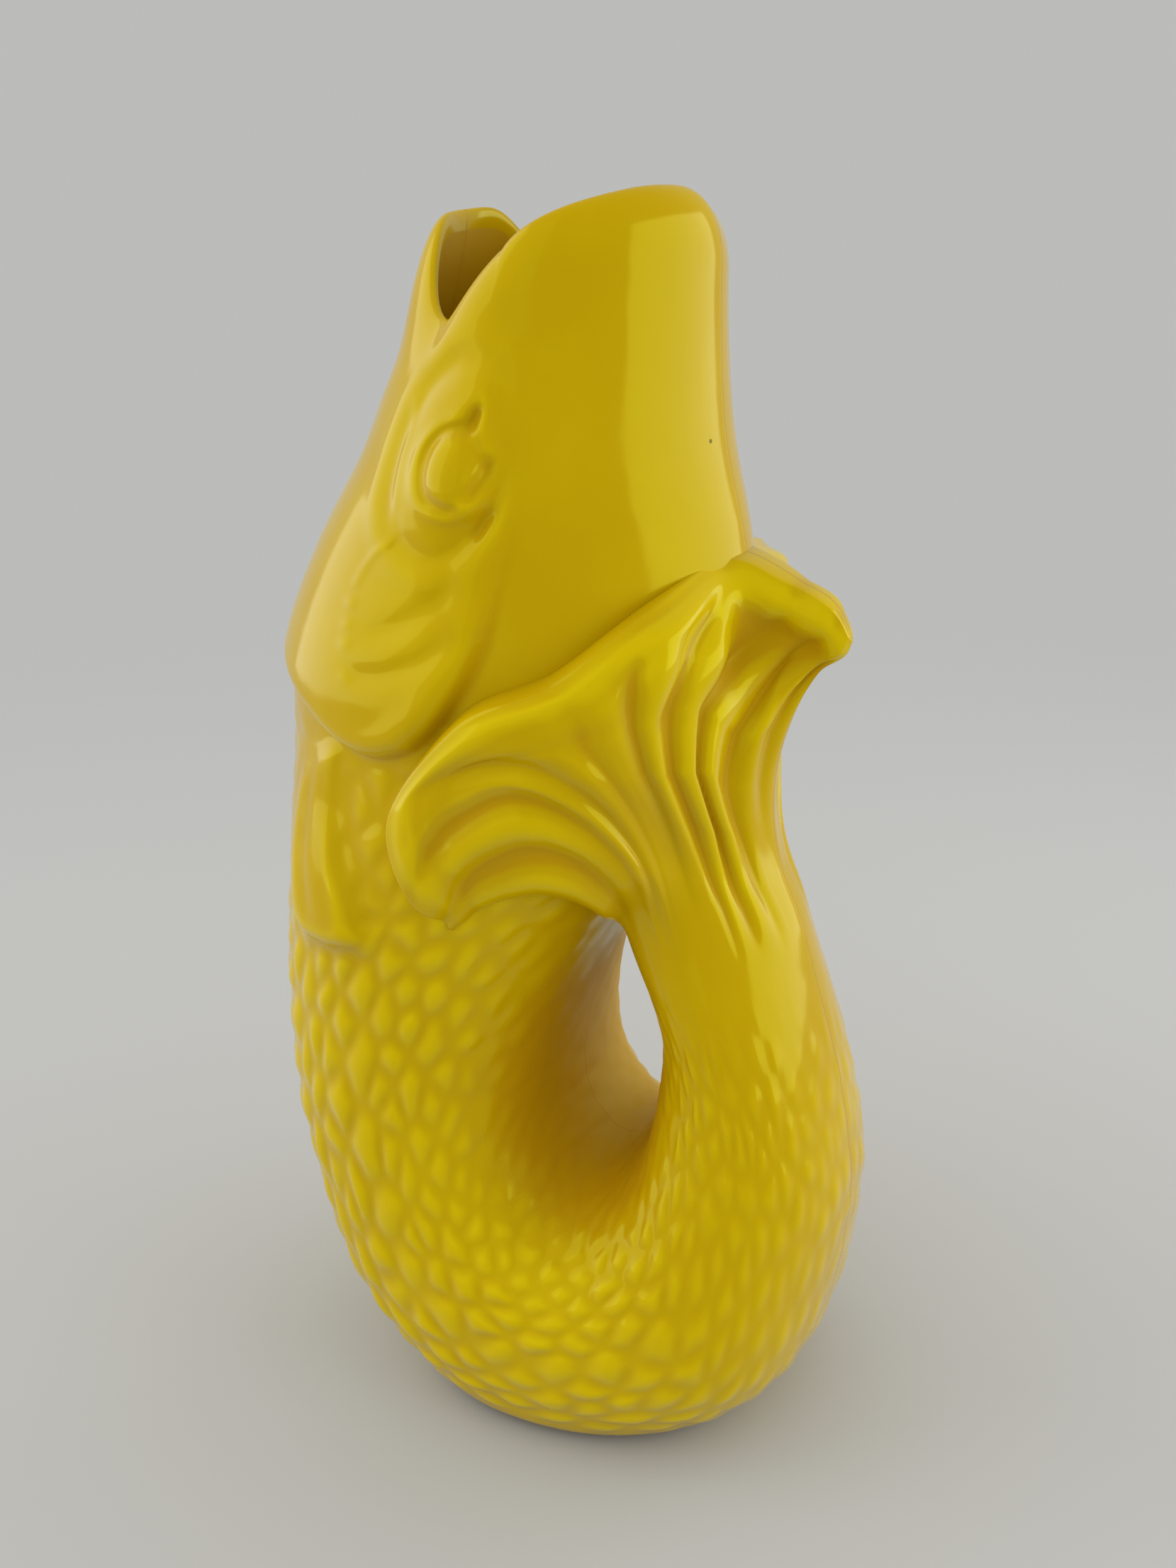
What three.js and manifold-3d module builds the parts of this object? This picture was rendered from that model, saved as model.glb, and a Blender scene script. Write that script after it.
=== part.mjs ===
// Fish carafe: a hollow ceramic fish that stands on its curled body, with its mouth as the spout
// and its tail bent up into a handle. Sizes in mm, +Z up, -X is the throat side, Y is left to right.
import * as THREE from "three";
import Module from "manifold-3d";

const wasm = await Module();
wasm.setup();

// Driving sizes
const HEIGHT = 315; // before the lip is cut; the stations and the fin rays grow with it
const WALL = 5; // thickness of the cast clay
const GAP = 0.3; // joint line between two neighbouring pieces
const SEAT = GAP + HEIGHT / 1300; // the same under a piece laid on the skin, whose facets sag
const FOOT_HEIGHT = 2.2;
const FOOT_LENGTH = 66;
const FOOT_WIDTH = 50;
const FOOT_RIM = 7; // width of the ring that touches the table
const FOOT_X = 6; // middle of the foot
const BASE_Z = FOOT_HEIGHT + GAP; // flat underside of the body

// Mouth: the lips dip into a notch on each side
const NOTCH_DEPTH = 28;
const NOTCH_ANGLE = 112; // degrees round from the nape
const NOTCH_TO_NAPE = 23; // degrees, how slowly the lip rises towards the nape
const NOTCH_TO_THROAT = 58; // degrees over which it rises to the throat lip
const THROAT_LIP_DROP = 8; // how far the throat lip stays below the sides of the upper lip
const NAPE_LIP_DROP = 2; // how far the lip dips at the nape
const NAPE_LIP_WIDTH = 40; // degrees to each side over which it dips
const LIP_ROUND = 14; // height over which the lip bends inwards
const LIP_BEND_NAPE = 10; // how far it bends in at the nape
const LIP_BEND_THROAT = 5;

// Where the cast sections meet, counted in stations along the fish
const HEAD_END = 4.45;
const BODY_END = 11.7;

// Mesh counts
const INSIDE_POINTS = 24; // points round the inside of the wall
const ROUND = 2 * Math.round(INSIDE_POINTS); // points round the skin
const HEAD_ROWS = 12;
const BODY_ROWS = 38;
const TAIL_ROWS = 22;

// Scales: shingled diamonds, two rows of points long and two points wide, sunk into the skin
const SCALE_DEPTH = 0.9;
const SCALE_LEAN = 0.35; // share of a row by which a scale's free edge leans towards the tail
const SCALES_FROM = 4.6; // station where they begin under the gill covers
const SCALES_TO = 14.6; // station where they fade out on the tail
const SCALES_CLEAR = 9; // height over the underside below which they fade out

// Relief of the pieces laid on the skin
const GILL_RISE = 1.1;
const GILL_LEDGE = 5; // height of the gill cover's lower edge
const GILL_RIDGE = 0.9; // two arcs under the eye
const GILL_ARC_NEAR = 38; // distance from the eye
const GILL_ARC_FAR = 54;
const GILL_ARC_WIDTH = 16;
const EYE_SEAT = 1.4; // flat on the gill cover that carries the eye
const EYE_RADIUS = 8;
const EYE_RISE = 3.6;
const EYE_EDGE = 0.5; // height of the eye's edge
const EYE_SOCKET = 7; // width of the hollow round the eye
const PECTORAL_RISE = 1.4;
const PECTORAL_TIP = 3.6;
const PECTORAL_RAY = 0.35;
const FIN_RAY = 1.5; // height of the tail fin's rays
const FIN_DISH = 1; // hollow between the root and the rim of the tail fin

// The fish from lip to tail: nape side [x, z], throat side [x, z] and half width of each section, then
// the power of its throat half (under 1 is boxy) and of its nape half (over 1 has a ridge). The mm in
// this table and in the one of the fin rays are those of a carafe 315 mm tall.
const GROWTH = HEIGHT / 315;
const STATIONS = [
  { nape: [35.5, 315], throat: [-31, 314], half: 38, powers: [1, 1.2] },
  { nape: [35.5, 286], throat: [-37.5, 283], half: 41, powers: [1, 1.2] },
  { nape: [37.5, 259], throat: [-46.5, 256], half: 47, powers: [1, 1.2] },
  { nape: [43, 235], throat: [-62.5, 229], half: 51, powers: [1, 1.2] },
  { nape: [46, 212], throat: [-72, 204], half: 53, powers: [1, 1.15] },
  { nape: [43, 188], throat: [-75, 177], half: 53, powers: [1, 1.1] },
  { nape: [29, 160], throat: [-77, 146], half: 54, powers: [0.97, 1.05] },
  { nape: [14, 134], throat: [-78, 110], half: 54, powers: [0.92, 1] },
  { nape: [5, 107], throat: [-71.5, 66], half: 54, powers: [0.85, 0.95] },
  { nape: [3, 85], throat: [-51, 18], half: 54, powers: [0.78, 0.9] },
  { nape: [10, 72], throat: [-16, -6], half: 54, powers: [0.74, 0.9] },
  { nape: [20, 71], throat: [28, -6], half: 52, powers: [0.74, 0.9] },
  { nape: [27, 81], throat: [66.5, 15], half: 47, powers: [0.78, 0.9] },
  { nape: [29, 98], throat: [78, 60], half: 38, powers: [0.88, 0.95] },
  { nape: [28, 116], throat: [75, 96], half: 32, powers: [0.98, 0.95] },
  { nape: [20, 138], throat: [63, 136], half: 28, powers: [1.12, 0.75] },
];
const LAST = STATIONS.length - 1;

// Half outlines of the applied pieces: [station, degrees round from the nape]
const EYE_AT = [2.04, 88];
const GILL_OUTLINE = [
  [1.05, 78], [1.46, 71], [1.95, 68], [2.58, 69], [3.14, 71], [3.67, 74], [4.13, 79], [4.5, 86],
  [4.72, 97], [4.67, 109], [4.42, 123], [4.2, 140], [4.05, 156], [3.9, 169], [3.2, 171], [2.4, 170],
  [1.7, 165], [1.3, 150], [1.15, 132], [1.2, 115], [1.22, 100], [1.1, 88],
];
const PECTORAL_AT = [5.5, 117];
const PECTORAL_OUTLINE = [
  [4.8, 110], [5.28, 107], [5.74, 101], [6.15, 94], [6.37, 96], [6.4, 108], [6.22, 122], [5.85, 134],
  [5.35, 139], [4.95, 134], [4.78, 121],
];

// Tail fin rays from the underside of the loop round to the back edge, on one side of the fish:
// degrees round the tail's end, height of its rib as a share, then points at its quarters. The rays of
// the front lobe arch over the loop and come together at the lobe's foot on the flank.
const FIN_RAYS = [
  { root: 0, rib: 0, quarters: [[14, 0, 146], [6, 0, 150], [0, 0, 150], [-4, 0, 148]] },
  { root: 45, rib: 1, quarters: [[21, -33, 152], [15.5, -46, 165], [5, -52, 163], [-5, -54, 151]] },
  { root: 65, rib: 1, quarters: [[26.5, -37, 161], [14, -51.5, 177], [-0.5, -57.5, 169], [-9, -56.5, 153]] },
  { root: 82, rib: 1, quarters: [[31, -38.5, 168], [13, -54, 188], [-6, -60, 180], [-12, -59, 156]] },
  { root: 88, rib: 0, quarters: [[33.5, -36, 169], [20, -52, 190.5], [0, -60, 191], [-19.5, -59.5, 173]] },
  { root: 95, rib: 0.4, quarters: [[36, -32.5, 168], [28, -47, 191], [16, -57, 198], [3, -59, 201]] },
  { root: 105, rib: 0.8, quarters: [[38.5, -28.5, 166], [34.5, -40, 190], [30, -48, 204], [21.5, -50, 210]] },
  { root: 117, rib: 1, quarters: [[42, -25.5, 163], [39.3, -34.5, 189], [38, -39, 211], [35, -36, 224]] },
  { root: 133, rib: 1.3, quarters: [[46.5, -19, 161], [44, -25, 187], [43, -25, 212], [41, -13, 233]] },
  { root: 153, rib: 1.3, quarters: [[51, -12, 159], [47, -14, 180], [49, -13, 203], [55.5, -6, 231]] },
  { root: 167, rib: 0, quarters: [[53.3, -6, 158.5], [50.5, -7.5, 179], [55, -7, 201], [65, -3, 226]] },
  { root: 180, rib: 1, quarters: [[54.5, 0, 158], [52.7, 0, 178], [58.5, 0, 198.5], [69, 0, 216]] },
];
const FIN_STEPS = 5; // columns from one ray to the next
const FIN_ROWS = 14;

const YELLOW_GLAZE = new THREE.MeshStandardMaterial({ color: 0xd8b200, roughness: 0.12 });
const BARE_CLAY = new THREE.MeshStandardMaterial({ color: 0xd9cfba, roughness: 0.9 });

const { degToRad, clamp, lerp, smoothstep } = THREE.MathUtils;

// A smooth open or closed line through points
function through(points, closed = false) {
  return new THREE.CatmullRomCurve3(points, closed, "catmullrom", 0.5);
}

// Skin of the fish
const inPlane = ([x, z]) => new THREE.Vector3(GROWTH * x, 0, GROWTH * z);
const napeLine = through(STATIONS.map((s) => inPlane(s.nape)));
const throatLine = through(STATIONS.map((s) => inPlane(s.throat)));
const girthLine = through(STATIONS.map((s) => new THREE.Vector3(GROWTH * s.half, ...s.powers)));

// Power that keeps its sign, for sections between an ellipse and a rounded box
function signedPower(value, power) {
  return Math.sign(value) * Math.abs(value) ** power;
}

// Point of the skin at a station and an angle in degrees from the nape, moved out by offset
function skin(station, degrees, offset = 0) {
  const along = clamp(station / LAST, 0, 1);
  const nape = napeLine.getPoint(along);
  const throat = throatLine.getPoint(along);
  const girth = girthLine.getPoint(along);
  const depthAxis = nape.clone().sub(throat);
  const depth = depthAxis.length() / 2 + offset;
  const cos = Math.cos(degToRad(degrees));
  const sin = Math.sin(degToRad(degrees));
  const power = cos < 0 ? girth.y : girth.z;
  const across = signedPower(cos, power);
  const sideways = signedPower(sin, power);
  const point = nape.add(throat).multiplyScalar(0.5);
  point.addScaledVector(depthAxis.normalize(), depth * across);
  point.y = (girth.x + offset) * sideways;
  point.z = Math.max(point.z, BASE_Z - offset);
  return point;
}

// Direction along the fish, from head to tail, square to the section at a station
function alongFish(station) {
  const depthAxis = skin(station, 0).sub(skin(station, 180)).normalize();
  return new THREE.Vector3(depthAxis.z, 0, -depthAxis.x);
}

// Ring of the skin at a station, moved along the fish by shift
function ring(station, offset, shift = 0, count = ROUND) {
  const move = alongFish(station).multiplyScalar(shift);
  return Array.from({ length: count }, (_, j) => skin(station, (360 * j) / count, offset).add(move));
}

// Solid from points and triangles, turned so that its faces point out
function geometryFrom(points, faces) {
  const volume = faces.reduce((sum, [a, b, c]) => {
    const normal = new THREE.Vector3().crossVectors(points[b], points[c]);
    return sum + points[a].dot(normal);
  }, 0);
  const turned = volume < 0 ? faces.map(([a, b, c]) => [a, c, b]) : faces;
  const geometry = new THREE.BufferGeometry().setFromPoints(points);
  geometry.setIndex(turned.flat());
  geometry.computeVertexNormals();
  return geometry;
}

// Faces between closed rows of points; the diagonals make a diamond round every second point
function rowFaces(start, rows, count, flip) {
  const faces = [];
  const add = (a, b, c) => faces.push(flip ? [a, c, b] : [a, b, c]);
  for (let i = 0; i < rows - 1; i++) {
    for (let j = 0; j < count; j++) {
      const here = start + i * count + j;
      const beside = start + i * count + ((j + 1) % count);
      if ((i + j) % 2 === 0) {
        add(here, here + count, beside);
        add(here + count, beside + count, beside);
      } else {
        add(here, here + count, beside + count);
        add(here, beside + count, beside);
      }
    }
  }
  return faces;
}

// Hollow stretch from rows round the skin and rows of half as many points round the inside
function hollow(outer, inner) {
  const count = inner[0].length;
  const insideStart = outer.length * 2 * count;
  const faces = [
    ...rowFaces(0, outer.length, 2 * count, false),
    ...rowFaces(insideStart, inner.length, count, true),
  ];
  const close = (outerRow, innerRow, flip) => {
    const add = (a, b, c) => faces.push(flip ? [a, c, b] : [a, b, c]);
    for (let j = 0; j < count; j++) {
      const first = outerRow + 2 * j;
      const last = outerRow + ((2 * j + 2) % (2 * count));
      const beside = innerRow + ((j + 1) % count);
      add(first, first + 1, innerRow + j);
      add(first + 1, beside, innerRow + j);
      add(first + 1, last, beside);
    }
  };
  close(0, insideStart, false);
  close((outer.length - 1) * 2 * count, insideStart + (inner.length - 1) * count, true);
  return geometryFrom([...outer.flat(), ...inner.flat()], faces);
}

// Row of the skin with every second point sunk between the scales, which fade out towards the foot
function scaledRing(station, row, rowLength) {
  const begun = smoothstep(station, SCALES_FROM, SCALES_FROM + 0.6);
  const ended = smoothstep(station, SCALES_TO - 1, SCALES_TO);
  return Array.from({ length: ROUND }, (_, j) => {
    const degrees = (360 * j) / ROUND;
    const raised = smoothstep(skin(station, degrees).z - BASE_Z, 0.1 * SCALES_CLEAR, SCALES_CLEAR);
    const share = begun * (1 - ended) * raised;
    if ((row + j) % 2 === 0) return skin(station + SCALE_LEAN * rowLength * share, degrees);
    return skin(station, degrees, -SCALE_DEPTH * share);
  });
}

// A scaled stretch of the hollow fish between two joints
function shell(from, to, count) {
  const outer = [];
  const inner = [];
  for (let i = 0; i <= count; i++) {
    const station = lerp(from, to, i / count);
    const atEnd = i === 0 || i === count;
    const shift = i === 0 ? GAP / 2 : -GAP / 2;
    outer.push(atEnd ? ring(station, 0, shift) : scaledRing(station, i, (to - from) / count));
    if (i % 2 === 0) inner.push(ring(station, -WALL, atEnd ? shift : 0, INSIDE_POINTS));
  }
  return hollow(outer, inner);
}

// Station of the lip at an angle from the nape
function lipStation(degrees) {
  const round = Math.abs(((degrees + 180) % 360) - 180);
  const past = round - NOTCH_ANGLE;
  const drop =
    past < 0
      ? NOTCH_DEPTH * Math.exp(past / NOTCH_TO_NAPE)
      : lerp(NOTCH_DEPTH, THROAT_LIP_DROP, smoothstep(past, 0, NOTCH_TO_THROAT));
  const napeDrop = NAPE_LIP_DROP * (1 - smoothstep(round, 0, NAPE_LIP_WIDTH));
  const stationLength = skin(0, 0).distanceTo(skin(1, 0));
  return (drop + napeDrop) / stationLength;
}

// The head from its rounded lip down to the first joint
function headShell() {
  const lipRound = LIP_ROUND / skin(0, 0).distanceTo(skin(1, 0));
  const lipRow = (inwards, down, count) =>
    Array.from({ length: count }, (_, j) => {
      const degrees = (360 * j) / count;
      const round = Math.abs(((degrees + 180) % 360) - 180);
      const bend = lerp(LIP_BEND_NAPE, LIP_BEND_THROAT, smoothstep(round, 0, 2 * NAPE_LIP_WIDTH));
      return skin(lipStation(degrees) + down * lipRound, degrees, -inwards * bend);
    });
  const row = (i, offset, count) => {
    if (i === HEAD_ROWS) return ring(HEAD_END, offset, -GAP / 2, count);
    return Array.from({ length: count }, (_, j) => {
      const degrees = (360 * j) / count;
      return skin(lerp(lipStation(degrees) + lipRound, HEAD_END, i / HEAD_ROWS), degrees, offset);
    });
  };
  const outer = [lipRow(0.78, 0, ROUND), lipRow(0.44, 0.12, ROUND), lipRow(0.19, 0.38, ROUND)];
  const inner = [lipRow(1, 0.12, INSIDE_POINTS)];
  for (let i = 0; i <= HEAD_ROWS; i++) {
    outer.push(row(i, 0, ROUND));
    if (i % 2 === 0) inner.push(row(i, -WALL, INSIDE_POINTS));
  }
  return hollow(outer, inner);
}

// A piece laid on the skin: rings of points from its middle to its outline, raised by rise(share, spot)
function applied(outline, middle, spokes, rings, lift, side, rise) {
  const edge = through(outline.map(([station, degrees]) => new THREE.Vector3(station, degrees, 0)), true);
  const spot = (share, spoke) => {
    const end = edge.getPoint(spoke / spokes);
    return [lerp(middle[0], end.x, share), lerp(middle[1], end.y, share)];
  };
  const points = [];
  const faces = [];
  const cap = (count, height) => {
    const start = points.length;
    points.push(skin(middle[0], side * middle[1], height(0, middle)));
    for (let i = 1; i <= count; i++) {
      for (let j = 0; j < spokes; j++) {
        const at = spot(i / count, j);
        points.push(skin(at[0], side * at[1], height(i / count, at)));
      }
    }
    return start;
  };
  const fan = (start, count, flip) => {
    const index = (i, j) => (i === 0 ? start : start + 1 + (i - 1) * spokes + (j % spokes));
    const add = (a, b, c) => faces.push(flip ? [a, c, b] : [a, b, c]);
    for (let j = 0; j < spokes; j++) {
      add(start, index(1, j), index(1, j + 1));
      for (let i = 1; i < count; i++) {
        add(index(i, j), index(i + 1, j), index(i + 1, j + 1));
        add(index(i, j), index(i + 1, j + 1), index(i, j + 1));
      }
    }
    return start + 1 + (count - 1) * spokes;
  };
  const topEdge = fan(cap(rings, (share, at) => lift + rise(share, at)), rings, false);
  const seatEdge = fan(cap(rings, () => lift), rings, true);
  for (let j = 0; j < spokes; j++) {
    const k = (j + 1) % spokes;
    faces.push([topEdge + j, seatEdge + j, seatEdge + k]);
    faces.push([topEdge + j, seatEdge + k, topEdge + k]);
  }
  return geometryFrom(points, faces);
}

// Distance in mm over the skin between two spots, near enough for relief
function spread([stationA, degreesA], [stationB, degreesB]) {
  const along = skin(stationA, 90).distanceTo(skin(stationB, 90));
  const round = skin(stationA, degreesA).distanceTo(skin(stationA, degreesB));
  return Math.hypot(along, round);
}

// Rounded ridge, 1 at the middle and 0 beyond its half width
function ridge(value, middle, halfWidth) {
  const x = Math.abs(value - middle) / halfWidth;
  return x < 1 ? 0.5 + 0.5 * Math.cos(Math.PI * x) : 0;
}

function gillCover(side) {
  return applied(GILL_OUTLINE, EYE_AT, 44, 11, SEAT, side, (share, at) => {
    const fromEye = spread(EYE_AT, at);
    const towardsThroat = 1 - 0.5 * smoothstep(at[1], 110, 160);
    const ledge = (GILL_LEDGE - GILL_RISE) * smoothstep(at[0], 2.7, 4.4) * towardsThroat;
    const near = ridge(fromEye, GILL_ARC_NEAR, GILL_ARC_WIDTH / 2);
    const far = ridge(fromEye, GILL_ARC_FAR, GILL_ARC_WIDTH / 2);
    const arcs = GILL_RIDGE * (near + far) * (1 - smoothstep(share, 0.8, 1));
    const body = GILL_RISE * smoothstep(at[0], 0.4, 2) + ledge + arcs;
    const seat = 1 - smoothstep(fromEye - EYE_RADIUS, 0.14 * EYE_SOCKET, EYE_SOCKET);
    return lerp(body * (1 - 0.35 * smoothstep(share, 0.86, 1)), EYE_SEAT, seat);
  });
}

function eye(side) {
  const perStation = skin(EYE_AT[0] - 0.5, EYE_AT[1]).distanceTo(skin(EYE_AT[0] + 0.5, EYE_AT[1]));
  const perDegree = skin(EYE_AT[0], EYE_AT[1] - 9).distanceTo(skin(EYE_AT[0], EYE_AT[1] + 9)) / 18;
  const outline = Array.from({ length: 8 }, (_, i) => {
    const turn = (i * Math.PI) / 4;
    const along = (EYE_RADIUS * Math.cos(turn)) / perStation;
    const round = (EYE_RADIUS * Math.sin(turn)) / perDegree;
    return [EYE_AT[0] + along, EYE_AT[1] + round];
  });
  return applied(outline, EYE_AT, 20, 5, SEAT + EYE_SEAT + GAP, side, (share) => {
    return EYE_EDGE + (EYE_RISE - EYE_EDGE) * Math.sqrt(1 - 0.98 * share * share);
  });
}

function pectoralFin(side) {
  return applied(PECTORAL_OUTLINE, PECTORAL_AT, 36, 6, SEAT, side, (share, at) => {
    const height = lerp(PECTORAL_RISE, PECTORAL_TIP, smoothstep(at[0], 4.8, 6.3));
    const rays = PECTORAL_RAY * Math.cos((at[1] + 9 * at[0]) * 0.9) * smoothstep(share, 0.1, 0.4);
    return (height + rays) * (1 - 0.4 * smoothstep(share, 0.8, 1));
  });
}

// Tail fin
const finRings = [0, 1, 2, 3, 4].map((stage) => {
  const start = alongFish(LAST).multiplyScalar(GAP / 2);
  const oneSide = FIN_RAYS.map((ray) =>
    stage === 0
      ? skin(LAST, -ray.root).add(start)
      : new THREE.Vector3(...ray.quarters[stage - 1]).multiplyScalar(GROWTH),
  );
  const otherSide = oneSide.slice(1, -1).reverse();
  const mirrored = otherSide.map((p) => new THREE.Vector3(p.x, -p.y, p.z));
  return through([...oneSide, ...mirrored], true);
});

// Smooth face of the fin: share from root to tip, turn once round the ring of rays
function finFace(share, turn) {
  return through(finRings.map((line) => line.getPoint(turn))).getPoint(share);
}

// The same with its rays raised and the hollow towards its rim
function finPoint(share, turn) {
  const before = finFace(Math.max(share - 0.01, 0), turn);
  const after = finFace(Math.min(share + 0.01, 1), turn);
  const outwards = finFace(share, turn + 0.002).sub(finFace(share, turn - 0.002));
  outwards.cross(after.sub(before)).normalize();
  const place = 2 * (FIN_RAYS.length - 1) * Math.min(turn, 1 - turn);
  const last = Math.min(Math.floor(place) + 1, FIN_RAYS.length - 1);
  const rib = lerp(FIN_RAYS[last - 1].rib, FIN_RAYS[last].rib, place - last + 1);
  const faded = smoothstep(share, 0.08, 0.4) * (1 - smoothstep(share, 0.75, 1));
  const rayHeight = FIN_RAY * rib * Math.cos(2 * Math.PI * place) * faded;
  const dish = FIN_DISH * smoothstep(share, 0.4, 0.75) * (1 - smoothstep(share, 0.8, 1));
  return finFace(share, turn).addScaledVector(outwards, rayHeight - dish);
}

// The whole fan, still filled where the neck and the belly pass through it
function filledFin() {
  const half = FIN_STEPS * (FIN_RAYS.length - 1);
  const count = 2 * half;
  const points = [];
  for (let i = 0; i <= FIN_ROWS; i++) {
    const near = [];
    for (let j = 0; j <= half; j++) {
      const point = finPoint(i / FIN_ROWS, j / count);
      if (j === 0 || j === half) point.y = 0;
      near.push(point);
    }
    const far = near.slice(1, -1).reverse();
    points.push(...near, ...far.map((p) => new THREE.Vector3(p.x, -p.y, p.z)));
  }
  const faces = rowFaces(0, FIN_ROWS + 1, count, false);
  const cap = (start, flip) => {
    const add = (a, b, c) => faces.push(flip ? [a, c, b] : [a, b, c]);
    for (let j = 0; j < half; j++) {
      const far = start + ((count - j) % count);
      const farNext = start + count - j - 1;
      if (j > 0) add(start + j, start + j + 1, far);
      if (j < half - 1) add(start + j + 1, farNext, far);
    }
  };
  cap(0, false);
  cap(FIN_ROWS * count, true);
  return geometryFrom(points, faces);
}

// The fish filled solid over a stretch, a joint line wider than its skin
function filledFish(from, to, count) {
  const rows = Array.from({ length: count + 1 }, (_, i) => ring(lerp(from, to, i / count), GAP));
  const faces = rowFaces(0, rows.length, ROUND, false);
  for (let j = 1; j < ROUND - 1; j++) {
    faces.push([0, j, j + 1]);
    faces.push([count * ROUND, count * ROUND + j + 1, count * ROUND + j]);
  }
  return geometryFrom(rows.flat(), faces);
}

function toSolid(geometry) {
  const vertProperties = new Float32Array(geometry.attributes.position.array);
  const triVerts = new Uint32Array(geometry.index.array);
  return new wasm.Manifold(new wasm.Mesh({ numProp: 3, vertProperties, triVerts }));
}

function fromSolid(solid) {
  const mesh = solid.getMesh();
  const geometry = new THREE.BufferGeometry();
  geometry.setAttribute("position", new THREE.BufferAttribute(mesh.vertProperties, 3));
  geometry.setIndex(new THREE.BufferAttribute(mesh.triVerts, 1));
  geometry.computeVertexNormals();
  return geometry;
}

function tailFin() {
  const cut = toSolid(filledFin()).subtract(toSolid(filledFish(2, 9, 28)));
  const largest = cut.decompose().sort((a, b) => b.volume() - a.volume())[0];
  return fromSolid(largest.simplify(0.01));
}

// Foot
function footRing() {
  const outline = new THREE.Shape();
  outline.absellipse(FOOT_X, 0, FOOT_LENGTH / 2, FOOT_WIDTH / 2, 0, 2 * Math.PI);
  const opening = new THREE.Path();
  opening.absellipse(FOOT_X, 0, FOOT_LENGTH / 2 - FOOT_RIM, FOOT_WIDTH / 2 - FOOT_RIM, 0, 2 * Math.PI);
  outline.holes.push(opening);
  return new THREE.ExtrudeGeometry(outline, { depth: FOOT_HEIGHT, bevelEnabled: false, curveSegments: 24 });
}

// Assembly
const carafe = new THREE.Group();
carafe.name = "fish_carafe";

function add(name, geometry, material = YELLOW_GLAZE) {
  const mesh = new THREE.Mesh(geometry, material);
  mesh.name = name;
  carafe.add(mesh);
}

add("head_shell", headShell());
add("body_shell", shell(HEAD_END, BODY_END, BODY_ROWS));
add("tail_shell", shell(BODY_END, LAST, TAIL_ROWS));
add("tail_fin", tailFin());
add("gill_cover_left", gillCover(1));
add("gill_cover_right", gillCover(-1));
add("eye_left", eye(1));
add("eye_right", eye(-1));
add("pectoral_fin_left", pectoralFin(1));
add("pectoral_fin_right", pectoralFin(-1));
add("foot_ring", footRing(), BARE_CLAY);

export default carafe;
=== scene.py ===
"""A glazed earthenware carafe in the shape of a leaping fish, dressed over its CAD frame."""

import bmesh
import bpy
import numpy as np
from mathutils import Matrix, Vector


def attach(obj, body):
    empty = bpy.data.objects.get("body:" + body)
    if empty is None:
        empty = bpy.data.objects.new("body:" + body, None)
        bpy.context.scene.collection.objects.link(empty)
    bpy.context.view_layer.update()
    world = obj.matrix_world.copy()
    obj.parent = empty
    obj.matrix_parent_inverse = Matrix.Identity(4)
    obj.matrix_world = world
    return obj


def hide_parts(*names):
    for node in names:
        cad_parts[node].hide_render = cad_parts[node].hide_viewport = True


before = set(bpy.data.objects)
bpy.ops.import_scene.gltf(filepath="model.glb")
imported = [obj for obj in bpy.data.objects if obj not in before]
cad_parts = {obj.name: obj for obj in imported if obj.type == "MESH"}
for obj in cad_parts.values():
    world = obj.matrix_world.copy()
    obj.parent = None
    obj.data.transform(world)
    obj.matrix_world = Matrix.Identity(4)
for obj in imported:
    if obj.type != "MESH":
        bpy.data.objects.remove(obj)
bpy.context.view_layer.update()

# The fish's form: a hollow body cast from slip in one mould, bent so that the mouth opens upwards and
# the tail rises behind it as a handle. Each row is one section from lip to tail, in mm: nape x and z,
# throat x and z, half width, then how boxy the throat half and the nape half are.
SECTIONS = np.array([
    [35.5, 315, -31, 314, 38, 1, 1.2], [35.5, 286, -37.5, 283, 41, 1, 1.2],
    [37.5, 259, -46.5, 256, 47, 1, 1.2], [43, 235, -62.5, 229, 51, 1, 1.2],
    [46, 212, -72, 204, 53, 1, 1.15], [43, 188, -75, 177, 53, 1, 1.1],
    [29, 160, -77, 146, 54, 0.97, 1.05], [14, 134, -78, 110, 54, 0.92, 1],
    [5, 107, -71.5, 66, 54, 0.85, 0.95], [3, 85, -51, 18, 54, 0.78, 0.9],
    [10, 72, -16, -6, 54, 0.74, 0.9], [20, 71, 28, -6, 52, 0.74, 0.9],
    [27, 81, 66.5, 15, 47, 0.78, 0.9], [29, 98, 78, 60, 38, 0.88, 0.95],
    [28, 116, 75, 96, 32, 0.98, 0.95], [20, 138, 63, 136, 28, 1.12, 0.75],
])
TAIL_END = len(SECTIONS) - 1
UNDERSIDE = 2.5
WALL = 5.0


def along_curve(points, place, closed=False):
    """Points of a smooth line through the given points, at places counted from its first one."""
    place = np.asarray(place, float)
    count = len(points)
    if closed:
        before = np.floor(place).astype(int)
        w = place - before
        p = [points[(before + i) % count] for i in (-1, 0, 1, 2)]
    else:
        place = np.clip(place, 0, count - 1)
        before = np.minimum(np.floor(place).astype(int), count - 2)
        w = place - before
        longer = np.concatenate([[2 * points[0] - points[1]], points, [2 * points[-1] - points[-2]]])
        p = [longer[before + i] for i in (0, 1, 2, 3)]
    w = w.reshape(w.shape + (1,) * (points.ndim - 1))
    start, end = 0.5 * (p[2] - p[0]), 0.5 * (p[3] - p[1])
    cubic = 2 * p[1] - 2 * p[2] + start + end
    square = 3 * p[2] - 3 * p[1] - 2 * start - end
    return ((cubic * w + square) * w + start) * w + p[1]


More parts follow.
